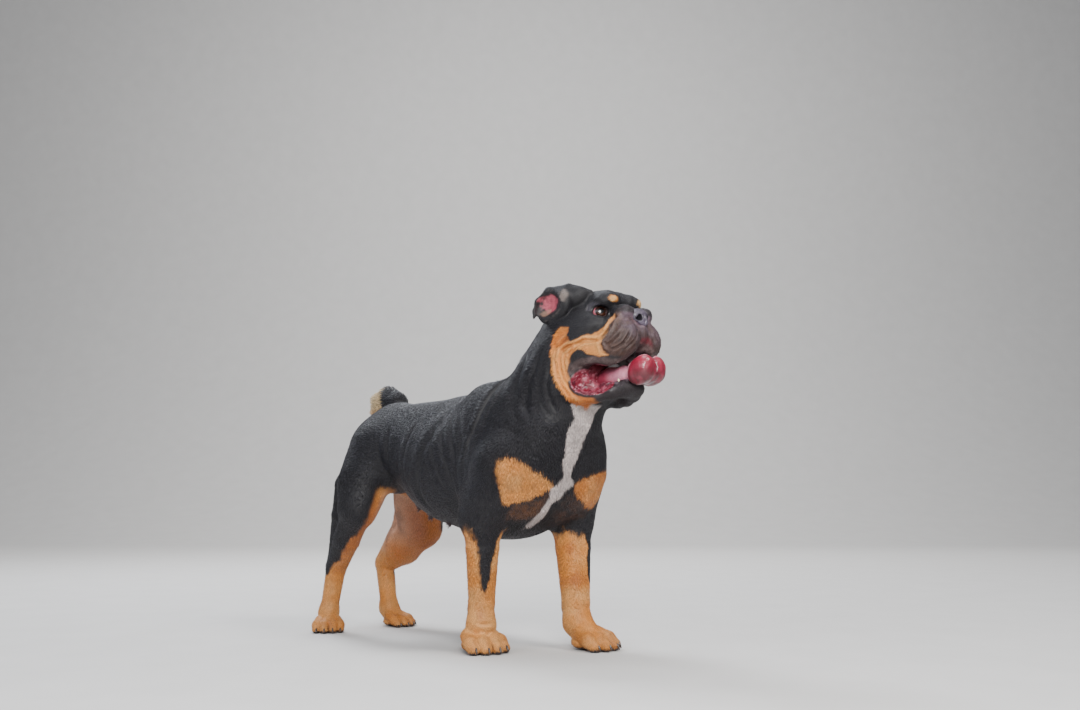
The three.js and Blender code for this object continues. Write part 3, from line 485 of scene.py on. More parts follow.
BODY_CREASES = [
    ([(233, -58, 440), (202, -61, 419), (196, -87, 388), (186, -102, 354), (172, -107, 323), (168, -113, 292),
      (176, -124, 262)], 4.0, 3.2),
    ([(93, -80, 377), (84, -104, 344), (64, -112, 312), (51, -111, 280), (37, -98, 248), (38, -84, 227),
      (54, -65, 208)], 7.0, 3.0),
    ([(20, -84, 372), (13, -94, 348), (4, -98, 307), (-1, -92, 274), (14, -84, 249)], 6.0, 2.4),
    ([(-66, -76, 366), (-64, -84, 330), (-66, -88, 296), (-76, -86, 268)], 7.0, 3.6),
    ([(318, -56, 480), (311, -64, 455), (303, -66, 428), (298, -64, 402), (298, -56, 376),
      (306, -45, 350)], 3.5, 2.2),
    ([(293, -64, 470), (276, -66, 438), (264, -72, 405), (261, -75, 374), (268, -73, 343)], 5.0, 2.4),
    ([(250, -40, 470), (244, -62, 440), (236, -74, 408), (230, -84, 372)], 6.0, 2.2),
    ([(206, -128, 250), (214, -112, 220), (216, -92, 196)], 5.0, 2.0),
    ([(150, -122, 252), (146, -116, 226), (158, -108, 204)], 5.0, 2.0),
    ([(176, -98, 46), (186, -84, 44), (188, -66, 46)], 2.5, 1.2),
]


def fold(p, lines, taper=0.12):
    """Height of creases with a raised rim on both sides."""
    out = np.zeros(len(p))
    for points, wide, deep in lines:
        a = np.array(points, float)
        m = ((p > a.min(0) - 5 * wide) & (p < a.max(0) + 5 * wide)).all(1)
        d, t = to_line(p[m], points)
        ends = ease(0, taper, t) * ease(0, taper, 1 - t)
        out[m] += ends * deep * (0.45 * np.exp(-((d - 2.2 * wide) / wide) ** 2) - np.exp(-(d / wide) ** 2))
    return out


def relief(p):
    """How far the skin stands out from the smooth body, in millimetres."""
    h = both_sides(to_head(p))
    far = ((p - HEAD_AT) ** 2).sum(1) > 170 ** 2
    hollow = np.full(len(p), 50.0)
    hollow[~far] = mouth(h[~far])
    out = np.where(hollow > 1.5, fold(h, FACE_CREASES), 0)
    b = both_sides(p)
    out += fold(b, BODY_CREASES, 0.25)
    ribs = ease(60, 90, p[:, 0]) * ease(180, 150, p[:, 0]) * ease(225, 260, p[:, 2]) * ease(390, 350, p[:, 2])
    out += ribs * 0.9 * np.sin((p[:, 0] + 0.35 * p[:, 2]) / 3.6)
    muzzle = ease(60, 70, h[:, 0]) * ease(4, 0, h[:, 2]) * ease(-80, -70, h[:, 2]) * (hollow > 1)
    out += muzzle * (0.6 * ragged(h * [1, 1, 0.6], 5.5, 3) + 0.35 * ragged(h * [1, 1, 0.8], 2.6, 4))
    philtrum = ease(84, 92, h[:, 0]) * ease(-22, -32, h[:, 2]) * ease(-68, -58, h[:, 2])
    out += 2.6 * np.exp(-(h[:, 1] / 8) ** 2) * philtrum
    pad = np.full(len(p), 50.0)
    pad[~far] = nose_pad(h[~far])
    out += ease(7, 2.5, pad) * ease(-1, 1.5, pad) * ease(-30, -20, h[:, 2]) * 1.4
    brow_line = ease(30, 40, h[:, 0]) * ease(96, 86, h[:, 0]) * ease(4, 12, h[:, 2])
    out += brow_line * 0.7 * ragged(h * [0.7, 1, 0.7], 9, 6)
    band = ease(16, 9, hollow) * ease(1, 4, hollow) * (h[:, 2] > -84) * ease(-14, 4, h[:, 0])
    out += band * 0.35 * ragged(h * [0.5, 1, 1], 4, 7)
    gums = ease(4, 1, hollow) * (h[:, 2] < -76) * ease(66, 58, h[:, 0])
    out += gums * (1.0 * ragged(h, 5, 5) + 0.5 * ragged(h, 2.6, 8) + 1.0)
    loose = ease(262, 284, p[:, 0]) * ease(440, 360, p[:, 2]) * (p[:, 2] > 250)
    out += loose * 0.5 * ragged(p, 22, 9)
    return out


# Markings, with some painted shade and painted highlights
def srgb(text):
    c = np.array([int(text[i:i + 2], 16) for i in (1, 3, 5)]) / 255
    return np.where(c <= 0.04045, c / 12.92, ((c + 0.055) / 1.055) ** 2.4)


BLACK = srgb("#0d0a10")
TAN, DEEP_TAN, PALE_TAN = srgb("#c67d32"), srgb("#a05019"), srgb("#d8a264")
WHITE, CREAM = srgb("#c6bab6"), srgb("#cdb48a")
MUZZLE, LILAC, LIP = srgb("#44291c"), srgb("#685666"), srgb("#1a1214")
# the darkest red is the mouth's red with painted shade inside the mouth
PINK, RED, SHADED_MOUTH_RED = srgb("#c0687a"), srgb("#8e2338"), srgb("#3a0f16")
EAR_PINK, EAR_PALE = srgb("#a84d5b"), srgb("#7d716a")
GROIN = srgb("#c79a83")

CHEEK = [(14, -15), (0, -8), (-11, -14), (-21, -25), (-26, -42), (-29, -65), (-25, -90), (-20, -110),
         (-16, -127), (-20, -150), (36, -150), (34, -134), (25, -130), (24, -122), (11, -112),
         (1, -100), (-5, -87), (-2, -72), (7, -59), (16, -52), (23, -50), (32, -59), (49, -68),
         (66, -70), (58, -62), (57, -51), (61, -42), (71, -35), (76, -21), (80, -6), (70, -16),
         (66, -26), (57, -31), (45, -34), (32, -33), (19, -37), (11, -35), (9, -26)]
SNOUT = [(80, -4), (76, -21), (71, -35), (61, -42), (57, -51), (58, -62), (68, -71), (84, -75),
         (112, -80), (118, -10), (100, 4), (88, -3)]
PATCH_R = [(-121, 292), (-111, 297), (-100, 292), (-83, 280), (-65, 269), (-46, 262), (-40, 256),
           (-61, 241), (-74, 233), (-85, 228), (-96, 224), (-105, 231), (-115, 255), (-123, 272)]
PATCH_L = [(1, 260), (20, 269), (64, 279), (100, 286), (116, 284), (110, 258), (97, 231), (82, 221),
           (50, 222), (27, 234), (6, 247)]
BRINDLE_R = [(-88, 222), (-69, 229), (-47, 243), (-45, 228), (-44, 213), (-46, 200), (-55, 196),
             (-82, 204)]
BRINDLE_L = [(-8, 246), (26, 233), (52, 221), (76, 218), (70, 204), (44, 196), (8, 198), (-14, 214)]
STRIPE = [(-40, 392), (-36, 372), (-25, 355), (-30, 342), (-33, 324), (-32, 307), (-36, 290),
          (-30, 281), (-26, 269), (-36, 259), (-45, 250), (-43, 238), (-44, 225), (-46, 213),
          (-44, 204), (-30, 188), (-27, 190), (-25, 204), (-30, 213), (-31, 225), (-19, 239),
          (-12, 251), (1, 260), (-10, 268), (-13, 282), (-11, 291), (-5, 308), (-4, 325), (4, 343),
          (10, 357), (13, 371), (10, 380), (-6, 392)]
WEDGE_R = [(-130, 215), (-124, 190), (-117, 177), (-110, 168), (-102, 143), (-95, 114), (-91, 98),
           (-87, 90), (-83, 97), (-82, 110), (-83, 134), (-81, 161), (-80, 179), (-80, 215)]
WEDGE_L = [(130, 215), (126, 180), (118, 150), (108, 118), (97, 97), (88, 94), (82, 105), (80, 120),
           (80, 139), (83, 158), (80, 174), (78, 215)]
THIGH_R = [(-60, 262), (-86, 256), (-90, 242), (-93, 224), (-100, 211), (-116, 190), (-160, 162),
           (-196, 133), (-215, 120), (-238, 105), (-264, 96), (-300, 90), (-300, -20), (-60, -20)]


def lay(col, mask, colour):
    """Blends a colour in, by the mask."""
    col += mask[:, None] * (colour - col)


def paint(p, n):
    """Colour, roughness and bareness of the skin at points with normals n."""
    h = to_head(p)
    x, y, z = p.T
    col = np.tile(BLACK, (len(p), 1))
    rough = np.full(len(p), 0.5)
    bare = np.zeros(len(p))
    rag = ragged(p, 5, 1) * 1.6 + ragged(p, 16, 2) * 2

    def soft(d):
        return ease(-2, 2, d + rag)

    tan = TAN + (PALE_TAN - TAN) * ease(-0.6, 1, ragged(p, 30, 11))[:, None] * 0.6
    tan = tan + (DEEP_TAN - tan) * ease(0.1, 1.2, ragged(p, 24, 12))[:, None] * 0.5

    # legs: tan below, black on the front of the forearm, on the outer thigh and down the back of the shank
    low = z < 275
    fore, aft = (x > 90) & low, (x < -40) & low
    right = y < 0
    own = np.zeros(len(p))
    for leg in FORELEGS:
        m = fore & (y * leg["side"] > 0)
        shaft = strand(3, [*leg["elbow"], 32 * leg["girth"]], [*leg["wrist"], 22], [*leg["heel"], 22])
        own[m] = ease(16, 7, shaft(p[m]))
    own = np.maximum(own, fore * ease(130, 110, z))
    top = 186 + np.where(right, 0, -8 + 16 * ease(60, 40, y) * ease(0.2, 0.6, n[:, 0]))
    band = ease(5, -5, z - top + rag * 2) * own
    wedge_r = soft(outline(WEDGE_R, y, z)) * ease(-0.15, 0.1, n[:, 0])
    wedge_l = soft(outline(WEDGE_L, y, z)) * ease(-0.15, 0.1, n[:, 0])
    lay(col, fore * band * (1 - np.where(right, wedge_r, wedge_l)), tan)
    lay(col, fore * band * ease(-0.1, -0.7, n[:, 0]) * ease(120, 150, z) * 0.5, DEEP_TAN)
    out_r = soft(outline(THIGH_R, x, z))
    inward = n[:, 1] * np.where(right, 1, -1)
    inner = np.where(right, ease(-0.15, 0.2, inward), ease(-0.6, -0.2, inward)) * ease(262, 246, z + rag)
    lay(col, aft * right * np.maximum(out_r, inner), tan)
    out_l = soft(outline([(u - (24 if w > 130 else 6), w - 8) for u, w in THIGH_R], x, z))
    lay(col, aft * ~right * np.maximum(out_l, inner), tan)
    groin = aft * ease(0.2, 0.7, inward) * ease(120, 190, z) * ease(270, 240, z)
    lay(col, groin * 0.75, GROIN)
    lay(col, groin * ease(0.1, 0.9, ragged(p, 34, 23)) * 0.5, srgb("#6b4a38"))
    deep = aft * ease(-0.1, 0.6, n[:, 0]) * ease(90, 140, z) * ease(250, 200, z)
    lay(col, deep * 0.6 * (col[:, 0] > 0.2), DEEP_TAN)
    # painted sheen: the rear of the hock lighter, greyish pink
    hock = aft * ease(-0.5, -0.95, n[:, 0]) * ease(66, 100, z) * ease(190, 130, z)
    lay(col, hock * 0.6, srgb("#4a343a"))
    for leg, size in [(g, FOREPAW) for g in FORELEGS] + [(g, HINDPAW) for g in HINDLEGS]:
        at = paw_frame(leg, size)
        # painted shade: dark brown streaks in the gaps between the toes
        for t in (-17, 0, 17):
            a, b = at(2, t * 0.9, 26), at(34 - abs(t) * 0.5, t * 1.03, 12)
            d, u = to_line(p, [a, b])
            lay(col, ease(4.6, 0.8, d) * ease(-0.2, 0.5, u) * 0.8, srgb("#4a2614"))
        for t in TOES:
            d, _ = to_line(p, [at(14 + toe_lead(t), t, 29), at(31 + toe_lead(t), t * 1.05, 17)])
            lay(col, ease(6, 2, d) * ease(-0.2, 0.7, ragged(p, 6, 24)) * 0.35, srgb("#7a4520"))
        sole = ease(7, 3, z) * (n[:, 2] < 0.1) * (z < 9)
        lay(col, sole * 0.8, srgb("#2b2423"))
    for leg in FORELEGS:
        w = leg["wrist"]
        d = np.sqrt(((p - [w[0] - 26, w[1], w[2] - 13]) ** 2).sum(1))
        lay(col, ease(10, 6, d), srgb("#2b2423"))
    for g in teats:
        lay(col, ease(6, 1, g(p)) * (n[:, 2] < 0.4), srgb("#3c2c2e"))

    # chest
    chest = (x > 190) & (z < 392)
    front = ease(216, 226, x) * (z < 392)
    for shape, sparse, dense, seed, much, brown in (
            (BRINDLE_R, -0.9, 0.5, 21, 0.8, "#6a4326"), (BRINDLE_L, -0.7, 0.6, 22, 0.7, "#4a3022")):
        hairs = ease(sparse, dense, ragged(p * [1, 0.5, 2], 9, seed))
        lay(col, front * ease(-5, 8, outline(shape, y, z) + rag) * hairs * much, srgb(brown))
    streaks = ragged(p * [1, 0.35, 1.6], 6, 25)
    for shape, toward, much in ((PATCH_R, PALE_TAN, 0.15), (PATCH_L, DEEP_TAN, 0.25)):
        edge = outline(shape, y, z) + rag * 0.7 + streaks
        lay(col, front * ease(-2.5, 2.5, edge), tan + (toward - tan) * much)
    top = ease(336, 343, x) * ease(370, 375, z)
    lay(col, chest * ease(-1.6, 1.6, outline(STRIPE, y, z) + rag * 0.8) * (1 - top), WHITE)

    # tail
    end = ease(-174, -178, x + rag * 0.7 + 0.15 * (z - 418)) * (z > 392) * (np.abs(y) < 30) * (x < -150)
    lay(col, end, CREAM)
    lay(col, end * ease(408, 398, z) * 0.5, srgb("#c08a60"))

    # head
    on = (x > 262) & (z > 340)
    hp = p[on]
    hh = h[on]
    ax, ay, az = hh[:, 0], np.abs(hh[:, 1]), hh[:, 2]
    c = col[on]
    rg = rag[on] * 0.7
    hollow = mouth(hh)
    t = tan[on]
    # depth of the face creases, used for the painted shade in them
    crease_shade = np.clip(-fold(both_sides(hh), FACE_CREASES) / 2.2, 0, 1)
    cheek = ease(-1.3, 1.3, outline(CHEEK, ax, az) + rg) * ease(14, 22, ay + 30 * (az > -120))
    chin = ease(17, 25, ax + rg + 14 * (hh[:, 1] > 6)) * ease(-98, -106, az) * (az > -156)
    cheek = cheek * (1 - chin * np.where(hh[:, 1] > 6, 1, ease(30, 36, ax)))
    cheek = cheek * (1 - ease(2, 9, hh[:, 1]) * ease(-28, -16, ax) * ease(-108, -116, az))
    glow = ease(8, -16, ax)[:, None]
    lay(c, cheek, t * (np.array([0.92, 0.78, 0.6]) + glow * [0.45, 0.42, 0.35]))
    lay(c, cheek * ease(-95, -125, az) * 0.5, DEEP_TAN)
    snout = ease(-2.5, 2.5, outline(SNOUT, ax, az) + rg * 0.8)
    lay(c, snout, MUZZLE)
    wrinkles = ragged(hh * [1, 1, 0.5], 4, 32)
    lay(c, snout * ease(88, 108, ax + ragged(hp, 7, 31) * 6 + 0.25 * (az + 40)) * 0.8, LILAC)
    lay(c, snout * ease(92, 76, ax) * ease(-0.4, 0.8, ragged(hh, 9, 33)) * 0.4, srgb("#6e452c"))
    lay(c, snout * ease(0.15, 0.8, wrinkles) * 0.55, LIP)
    lay(c, snout * ease(0.2, 1.0, ragged(hh, 3.2, 39)) * 0.2, srgb("#84777c"))
    lay(c, snout * ease(-20, -46, az) * 0.5, srgb("#281614"))
    lay(c, snout * ease(-3, 3, az + 5 + 0.28 * (ax - 71) + rg) * 0.92, srgb("#1b1416"))
    # painted shade: dark brown in the face creases
    lay(c, np.clip(crease_shade * 1.4, 0, 1) * 0.85 * np.maximum(cheek, snout), srgb("#33190f"))
    # painted highlights: lighter tan and grey along the crests of the face folds
    ridge_highlight = np.clip(fold(both_sides(hh), FACE_CREASES), 0, 1)
    lay(c, ridge_highlight * 0.45 * cheek, srgb("#dda463"))
    lay(c, ridge_highlight * 0.22 * snout, srgb("#8c7670"))
    cleft = np.sqrt(((ax - 92) / 12) ** 2 + ((hh[:, 1] - 4) / 14) ** 2 + ((az + 57) / 13) ** 2)
    lay(c, ease(1.2, 0.8, cleft + rg * 0.05) * 0.9, srgb("#5e0f1e"))
    band = ease(17, 11, hollow + rg) * (az > -84) * ease(-14, 4, ax) * ease(100, 92, ax) * (1 - cheek)
    lay(c, band * 0.9, srgb("#4b3a38"))
    lay(c, band * ease(0, 0.8, ragged(hh, 5, 34)) * 0.6, srgb("#7a6664"))
    lip = ease(7, 2.0, hollow + rg * 0.6 - 2.5 * (az < -92)) * (ax > -16)
    lay(c, lip * (1 - cheek * ease(5, 9, hollow)), srgb("#1a1315"))
    lay(c, chin, srgb("#1b1115"))
    # painted highlights: lilac mottles on the upper chin near the lip
    lay(c, chin * ease(-116, -108, az) * ease(-0.1, 0.8, ragged(hh, 5, 40)) * 0.7, srgb("#7d6f78"))
    brow = np.sqrt(((ax - 74) / 7) ** 2 + ((ay - 30) / 9.5) ** 2 + ((az - 17.5) / 5) ** 2)
    near_side = (hh[:, 1] < 0)[:, None]
    lay(c, ease(1.2, 0.7, brow + ragged(hp, 3, 26) * 0.22) * 0.95, np.where(near_side, TAN * 1.1, PALE_TAN))
    lay(c, ease(1.0, 0.5, brow + ragged(hp, 3, 27) * 0.3) * 0.5, srgb("#e7c48a"))
    inside = ease(1.5, -1.5, hollow)
    # painted shade: the inside of the mouth dark red
    lay(c, inside, SHADED_MOUTH_RED)
    lining = ease(3.0, 1.2, hollow + rg * 0.4) * ease(-72, -84, az + rg) * ease(64, 58, ax)
    lining = np.maximum(lining, inside * ease(-72, -82, az + rg) * ease(74, 66, ax))
    wet = ragged(hh, 4.5, 35)
    lay(c, lining, (PINK + (RED - PINK) * ease(-0.7, 0.4, wet)[:, None]) * 0.62)
    lay(c, lining * ease(0.0, 0.7, ragged(hh, 6, 36)) * 0.8, srgb("#3d101c"))
    # painted highlights: pale pink wet glints on the lining
    lay(c, lining * ease(0.45, 0.9, ragged(hh, 3.2, 28)) * 0.6, srgb("#d99aa6"))
    # painted shade: the lining darker towards the top, under the upper lip
    lay(c, lining * ease(-84, -74, az + rg) * 0.8, srgb("#2a0c12"))
    lay(c, inside * ease(6, 16, ax) * ease(24, 6, ax) * ease(-66, -78, az) * 0.5, srgb("#8a4a52"))
    lay(c, inside * ease(68, 76, ax) * ease(-96, -80, az), srgb("#6b1424"))
    cup = np.minimum(cups[0](hh), cups[1](hh))
    in_ear = ease(2.2, 0.4, cup)
    spot = ragged(hh, 7, 37)
    pink = ease(1.15, 0.8, np.sqrt(((ax + 17) / 15) ** 2 + ((az - 32) / 14) ** 2) + 0.3 * spot)
    lay(c, in_ear, srgb("#1d1618"))
    lay(c, in_ear * pink, EAR_PINK)
    lay(c, in_ear * pink * ease(-0.2, 0.6, ragged(hh, 4, 29)) * 0.6, srgb("#6e2a38"))
    pale = np.sqrt(((ax - 16) / 5.5) ** 2 + ((az - 34) / 11) ** 2) + 0.25 * spot
    lay(c, (ay > 60) * ease(1.2, 0.7, pale) * 0.8, EAR_PALE)
    low_ear = np.sqrt(((ax + 26) / 9) ** 2 + ((az - 20) / 6) ** 2) + 0.3 * spot
    lay(c, in_ear * ease(1.2, 0.7, low_ear) * 0.6, srgb("#8f705e"))
    lay(c, ease(2, 4, cup) * ease(8, 5, cup) * ease(0, 0.6, ragged(hh, 5, 30)) * 0.25, EAR_PALE)
    eye = np.sqrt(((hh[:, None] - np.array([eye_front(s, 0) for s in (-1, 1)])[None]) ** 2).sum(2)).min(1)
    rim = ease(17.8, 15.5, eye)
    lay(c, rim, srgb("#0d0a0c"))
    lid = ease(23, 20, eye) * ease(16.5, 18.5, eye) * (az > 6)
    lay(c, lid * 0.35, srgb("#5d5862"))
    col[on] = c
    r = rough[on]
    moist = np.maximum.reduce([inside, lip * 0.7, lining])
    r += moist * (0.18 - r) + in_ear * 0.05
    r -= rim * 0.2 + snout * 0.06
    rough[on] = r
    bare[on] = np.maximum.reduce([inside, lip, in_ear, rim, ease(5, 1, nose_pad(hh))])
    shade = 1 + 0.10 * ragged(p, 40, 41) + 0.07 * ragged(p, 3, 42)
    col *= shade[:, None]
    return np.clip(col, 0.002, 1), rough, np.maximum(bare, ease(5, 2, z) * (n[:, 2] < 0.3))


# Pieces
lo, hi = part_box("eye_r")
SHIFT = (np.array(lo) + np.array(hi)) * 500 - from_head([EYE_AT[0], -EYE_AT[1], EYE_AT[2]])


def piece(name, v, faces, materials, nodes=(), colours=None, extra=None, flat=False):
    """A mesh object that rides on the root body and replaces the nodes named."""
    me = bpy.data.meshes.new(name)
    faces = np.asarray(faces)
    me.vertices.add(len(v))
    me.vertices.foreach_set("co", ((v + SHIFT) / 1000).astype(np.float32).ravel())
    me.loops.add(faces.size)
    me.loops.foreach_set("vertex_index", faces.astype(np.int32).ravel())
    me.polygons.add(len(faces))
    me.polygons.foreach_set("loop_start", np.arange(0, faces.size, faces.shape[1], dtype=np.int32))
    me.polygons.foreach_set("use_smooth", np.full(len(faces), not flat))
    me.update(calc_edges=True)
    me.validate()
    if colours is not None:
        layer = me.attributes.new("Coat", "FLOAT_COLOR", "POINT")
        layer.data.foreach_set("color", np.c_[colours, np.ones(len(v))].astype(np.float32).ravel())
    for key, values in (extra or {}).items():
        kind = "FLOAT_VECTOR" if values.ndim == 2 else "FLOAT"
        layer = me.attributes.new(key, kind, "POINT")
        layer.data.foreach_set("vector" if values.ndim == 2 else "value", values.astype(np.float32).ravel())
    ob = bpy.data.objects.new(name, me)
    bpy.context.scene.collection.objects.link(ob)
    me.materials.append(materials)
    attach(ob, "root")
    if nodes:
        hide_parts(*nodes)
    return ob


def material(name, **sockets):
    m = bpy.data.materials.new(name)
    m.use_nodes = True
    nt = m.node_tree
    shader = nt.nodes["Principled BSDF"]
    for key, value in sockets.items():
        shader.inputs[key.replace("_", " ")].default_value = value
    return m, nt, shader


def node(nt, kind, inputs=None, **props):
    n = nt.nodes.new(kind)
    for key, value in props.items():
        setattr(n, key, value)
    for key, value in (inputs or {}).items():
        if isinstance(value, bpy.types.NodeSocket):
            nt.links.new(value, n.inputs[key])
        else:
            n.inputs[key].default_value = value
    return n


def attribute(nt, name):
    return node(nt, "ShaderNodeAttribute", attribute_name=name)


def grainy(nt, colour, vector, scale, amount, detail=3):
    """The colour, lighter and darker by a fine noise."""
    grain = node(nt, "ShaderNodeTexNoise", {"Vector": vector, "Scale": scale, "Detail": detail})
    ramp = node(nt, "ShaderNodeMapRange", {"Value": grain.outputs["Fac"], "From Min": 0.3, "From Max": 0.7,
                                           "To Min": 1 - amount, "To Max": 1 + amount})
    toned = node(nt, "ShaderNodeVectorMath", {0: colour, 1: ramp.outputs[0]}, operation="MULTIPLY")
    return toned.outputs[0], grain


def coat_material(name, bump):
    m, nt, shader = material(name, Specular_IOR_Level=0.45, Sheen_Weight=0.04, Sheen_Roughness=0.35)
    shader.inputs["Sheen Tint"].default_value = (0.7, 0.74, 1, 1)
    coat = attribute(nt, "Coat")
    grain = attribute(nt, "Grain")
    colour, streak = grainy(nt, coat.outputs["Color"], grain.outputs["Vector"], 900, 0.22)
    nt.links.new(colour, shader.inputs["Base Color"])
    if bump:
        rough = attribute(nt, "Rough")
        nt.links.new(rough.outputs["Fac"], shader.inputs["Roughness"])
        mound = node(nt, "ShaderNodeBump",
                     {"Height": streak.outputs["Fac"], "Strength": 0.45, "Distance": 0.0006})
        nt.links.new(mound.outputs[0], shader.inputs["Normal"])
    else:
        shader.inputs["Roughness"].default_value = 0.5
    return m


skin_material = coat_material("skin_and_short_fur", True)

axes = (steps((-300, 225, 2.8), (225, 460, 1.5)), steps((-140, 138, 1.9)),
        steps((-6, 66, 1.7), (66, 360, 2.8), (360, 564, 1.5)))
V, Q = net(dog, *axes, passes=2)
N = slopes(dog, V)
N /= np.linalg.norm(N, axis=1, keepdims=True) + 1e-9
V = V + N * relief(V)[:, None]
V[:, 2] = np.maximum(V[:, 2], 0.0)
N = normals_of(V, Q)
COLOURS, ROUGH, BARE = paint(V, N)
# painted shade: the furred skin darker, as in the shade of the tufts
COLOURS *= (1 - 0.3 * (1 - BARE))[:, None]
ROUGH += 0.14 * (1 - BARE)


def lie(p, n):
    """The way the coat lies, along the skin."""
    h = to_head(p)
    x, y, z = p.T
    s = np.sign(y - 8 * ease(230, 320, x))
    flow = np.tile([-1.0, 0, -0.22], (len(p), 1))
    flow[:, 1] = -0.1 * s
    def turn(mask, way):
        flow[:] = flow + mask[:, None] * (np.asarray(way, float) - flow)
    leg = ease(240, 190, z)
    turn(leg * ease(-60, -90, x), (-0.35, 0, -1))
    turn(leg * ease(110, 130, x), (-0.15, 0, -1))
    turn(ease(-70, -110, x) * ease(330, 250, z), (-0.35, 0, -1))
    turn(ease(190, 250, x) * ease(460, 380, z), (-0.35, 0, -1))
    turn(ease(250, 285, x) * ease(300, 330, z) * ease(425, 400, z), (-0.5, 0, -1))
    turn(ease(150, 220, x) * ease(350, 300, z) * ease(0.1, 0.6, n[:, 0]), (0, 0, -1))
    turn(ease(-150, -158, x) * ease(388, 396, z), (-0.8, 0, -0.3))
    head_way = np.stack([-np.ones(len(p)), 0.25 * s, np.where(h[:, 2] < -20, -0.7, 0.1)], 1) @ HEAD_TURN.T
    turn(ease(262, 300, x) * ease(400, 440, z), head_way)
    flow -= n * (flow * n).sum(1, keepdims=True)
    return flow / (np.linalg.norm(flow, axis=1, keepdims=True) + 1e-9)


def grain_of(p):
    """Coordinates in metres, squeezed along the lie of the coat."""
    x, z = p[:, 0], p[:, 2]
    way = np.maximum(ease(250, 200, z), ease(205, 260, x) * ease(430, 380, z))
    q = p.copy()
    angle = way * math.pi / 2 * 0.93
    c, s = np.cos(angle), np.sin(angle)
    # the axis that runs along the coat turns slowly from the flank's lie to the leg's
    q[:, 0] = (c * x + s * z) * 0.12
    q[:, 2] = -s * x + c * z
    return q / 1000


FLESH = ["ear_r", "ear_l", "lower_jaw", "head", "neck", "tail", "rump", "loin", "chest"]
for part in ("forearm", "upper_arm", "shank", "thigh", "front_paw", "hind_paw"):
    FLESH += [part + "_r", part + "_l"]
piece("skin", V, Q, skin_material, FLESH, COLOURS, {"Rough": ROUGH, "Grain": grain_of(V)})


def unwrap(zone, p):
    """Place of skin points on an unwrap of the skin's own shape, one chart to a zone."""
    side = np.where(p[:, 1] < 0, -1.0, 1.0)
    if zone == "head":
        q = to_head(p) - [8, 0, -34]
        q /= np.abs(q).sum(1, keepdims=True)
        under = q[:, 2] < 0
        a = np.where(under, (1 - np.abs(q[:, 1])) * np.where(q[:, 0] < 0, -1, 1), q[:, 0])
        b = np.where(under, (1 - np.abs(q[:, 0])) * np.where(q[:, 1] < 0, -1, 1), q[:, 1])
        return np.stack([0.5 + 0.49 * a, 0.5 + 0.49 * b], 1)
    if zone == "neck":
        up = np.array([86.0, 8, 150]) / np.linalg.norm([86, 8, 150])
        q = p - [236, 2, 330]
        ahead = np.cross([0, 1.0, 0], up)
        turn = np.arctan2(q[:, 1], q @ ahead) / (2 * math.pi)
        return np.stack([0.5 + 0.98 * turn, np.clip(0.35 + q @ up / 300, 0.01, 0.99)], 1)
    if zone in ("trunk_r", "trunk_l"):
        turn = np.arctan2(np.abs(p[:, 1]), 300 - p[:, 2]) / math.pi
        return np.stack([np.clip((p[:, 0] + 300) / 600, 0.01, 0.99), 0.01 + 0.98 * turn], 1)
    foot, top = np.zeros((len(p), 3)), np.zeros((len(p), 3))
    for leg in FORELEGS if zone == "fore" else HINDLEGS:
        m = side == leg["side"]
        foot[m] = leg["heel"]
        top[m] = leg["elbow"] if zone == "fore" else leg["stifle"]
    t = np.clip((p[:, 2:] - foot[:, 2:]) / (top[:, 2:] - foot[:, 2:]), -0.4, 1.2)
    q = p - foot - (top - foot) * t
    turn = np.arctan2(q[:, 1] * side, q[:, 0]) / (2 * math.pi) + 0.5
    length = p[:, 2] - 0.7 * np.maximum(q[:, 0], 0) * ease(60, 20, p[:, 2])
    return np.stack([0.25 + 0.25 * side + 0.49 * turn + 0.005, np.clip(0.12 + length / 320, 0.01, 0.99)], 1)


def zones(p):
    """Which part of the coat each skin point belongs to."""
    h = to_head(p)
    x, y, z = p.T
    out = np.where(y < 0, 3, 4)
    out[(x > 196 + 0.25 * (z - 300)) & (z > 250)] = 2
    out[(h[:, 0] > -58) & (h[:, 2] > -150) & (x > 262) & (z > 350)] = 1
    out[(z < 236) & (x > 100)] = 5
    out[(z < 262) & (x < -52)] = 6
    return out


ZONES = ["", "head", "neck", "trunk_r", "trunk_l", "fore", "hind"]
TUFTS = dict(head=32_000, neck=26_000, trunk_r=31_000, trunk_l=31_000, fore=30_000, hind=24_000)
# Faces of one tuft: 0 is the root, 1 and 2 the sides, 3 the ridge and 4 the tip
FLAKE = np.array([(0, 3, 1), (0, 2, 3), (4, 1, 3), (4, 3, 2), (0, 1, 2), (4, 2, 1)])
chance = np.random.default_rng(7)


def rises(p, n):
    """How much the coat stands up, 0 to 1, where it breaks the form."""
    h = to_head(p)
    x, y, z = p.T
    up = ease(0.75, 0.98, n[:, 2]) * ease(150, 230, x) * (z > 400) * ease(-40, -60, h[:, 0])
    up = np.maximum(up, ease(20, 6, np.abs(y + 14)) * ease(200, 230, x) * (z < 360) * (z > 190) * 0.8)
    up = np.maximum(up, ease(-0.75, -0.97, n[:, 2]) * (z > 150) * 0.6)
    up = np.maximum(up, ease(-0.6, -0.95, n[:, 0]) * (z < 330) * (z > 60))
    up = np.maximum(up, ease(-152, -162, x) * (z > 388))
    jowl = ease(6, 0, np.abs(outline(CHEEK, h[:, 0], h[:, 2])))
    up = np.maximum(up, jowl * (h[:, 0] < -10) * (h[:, 0] > -45) * 0.5)
    return up


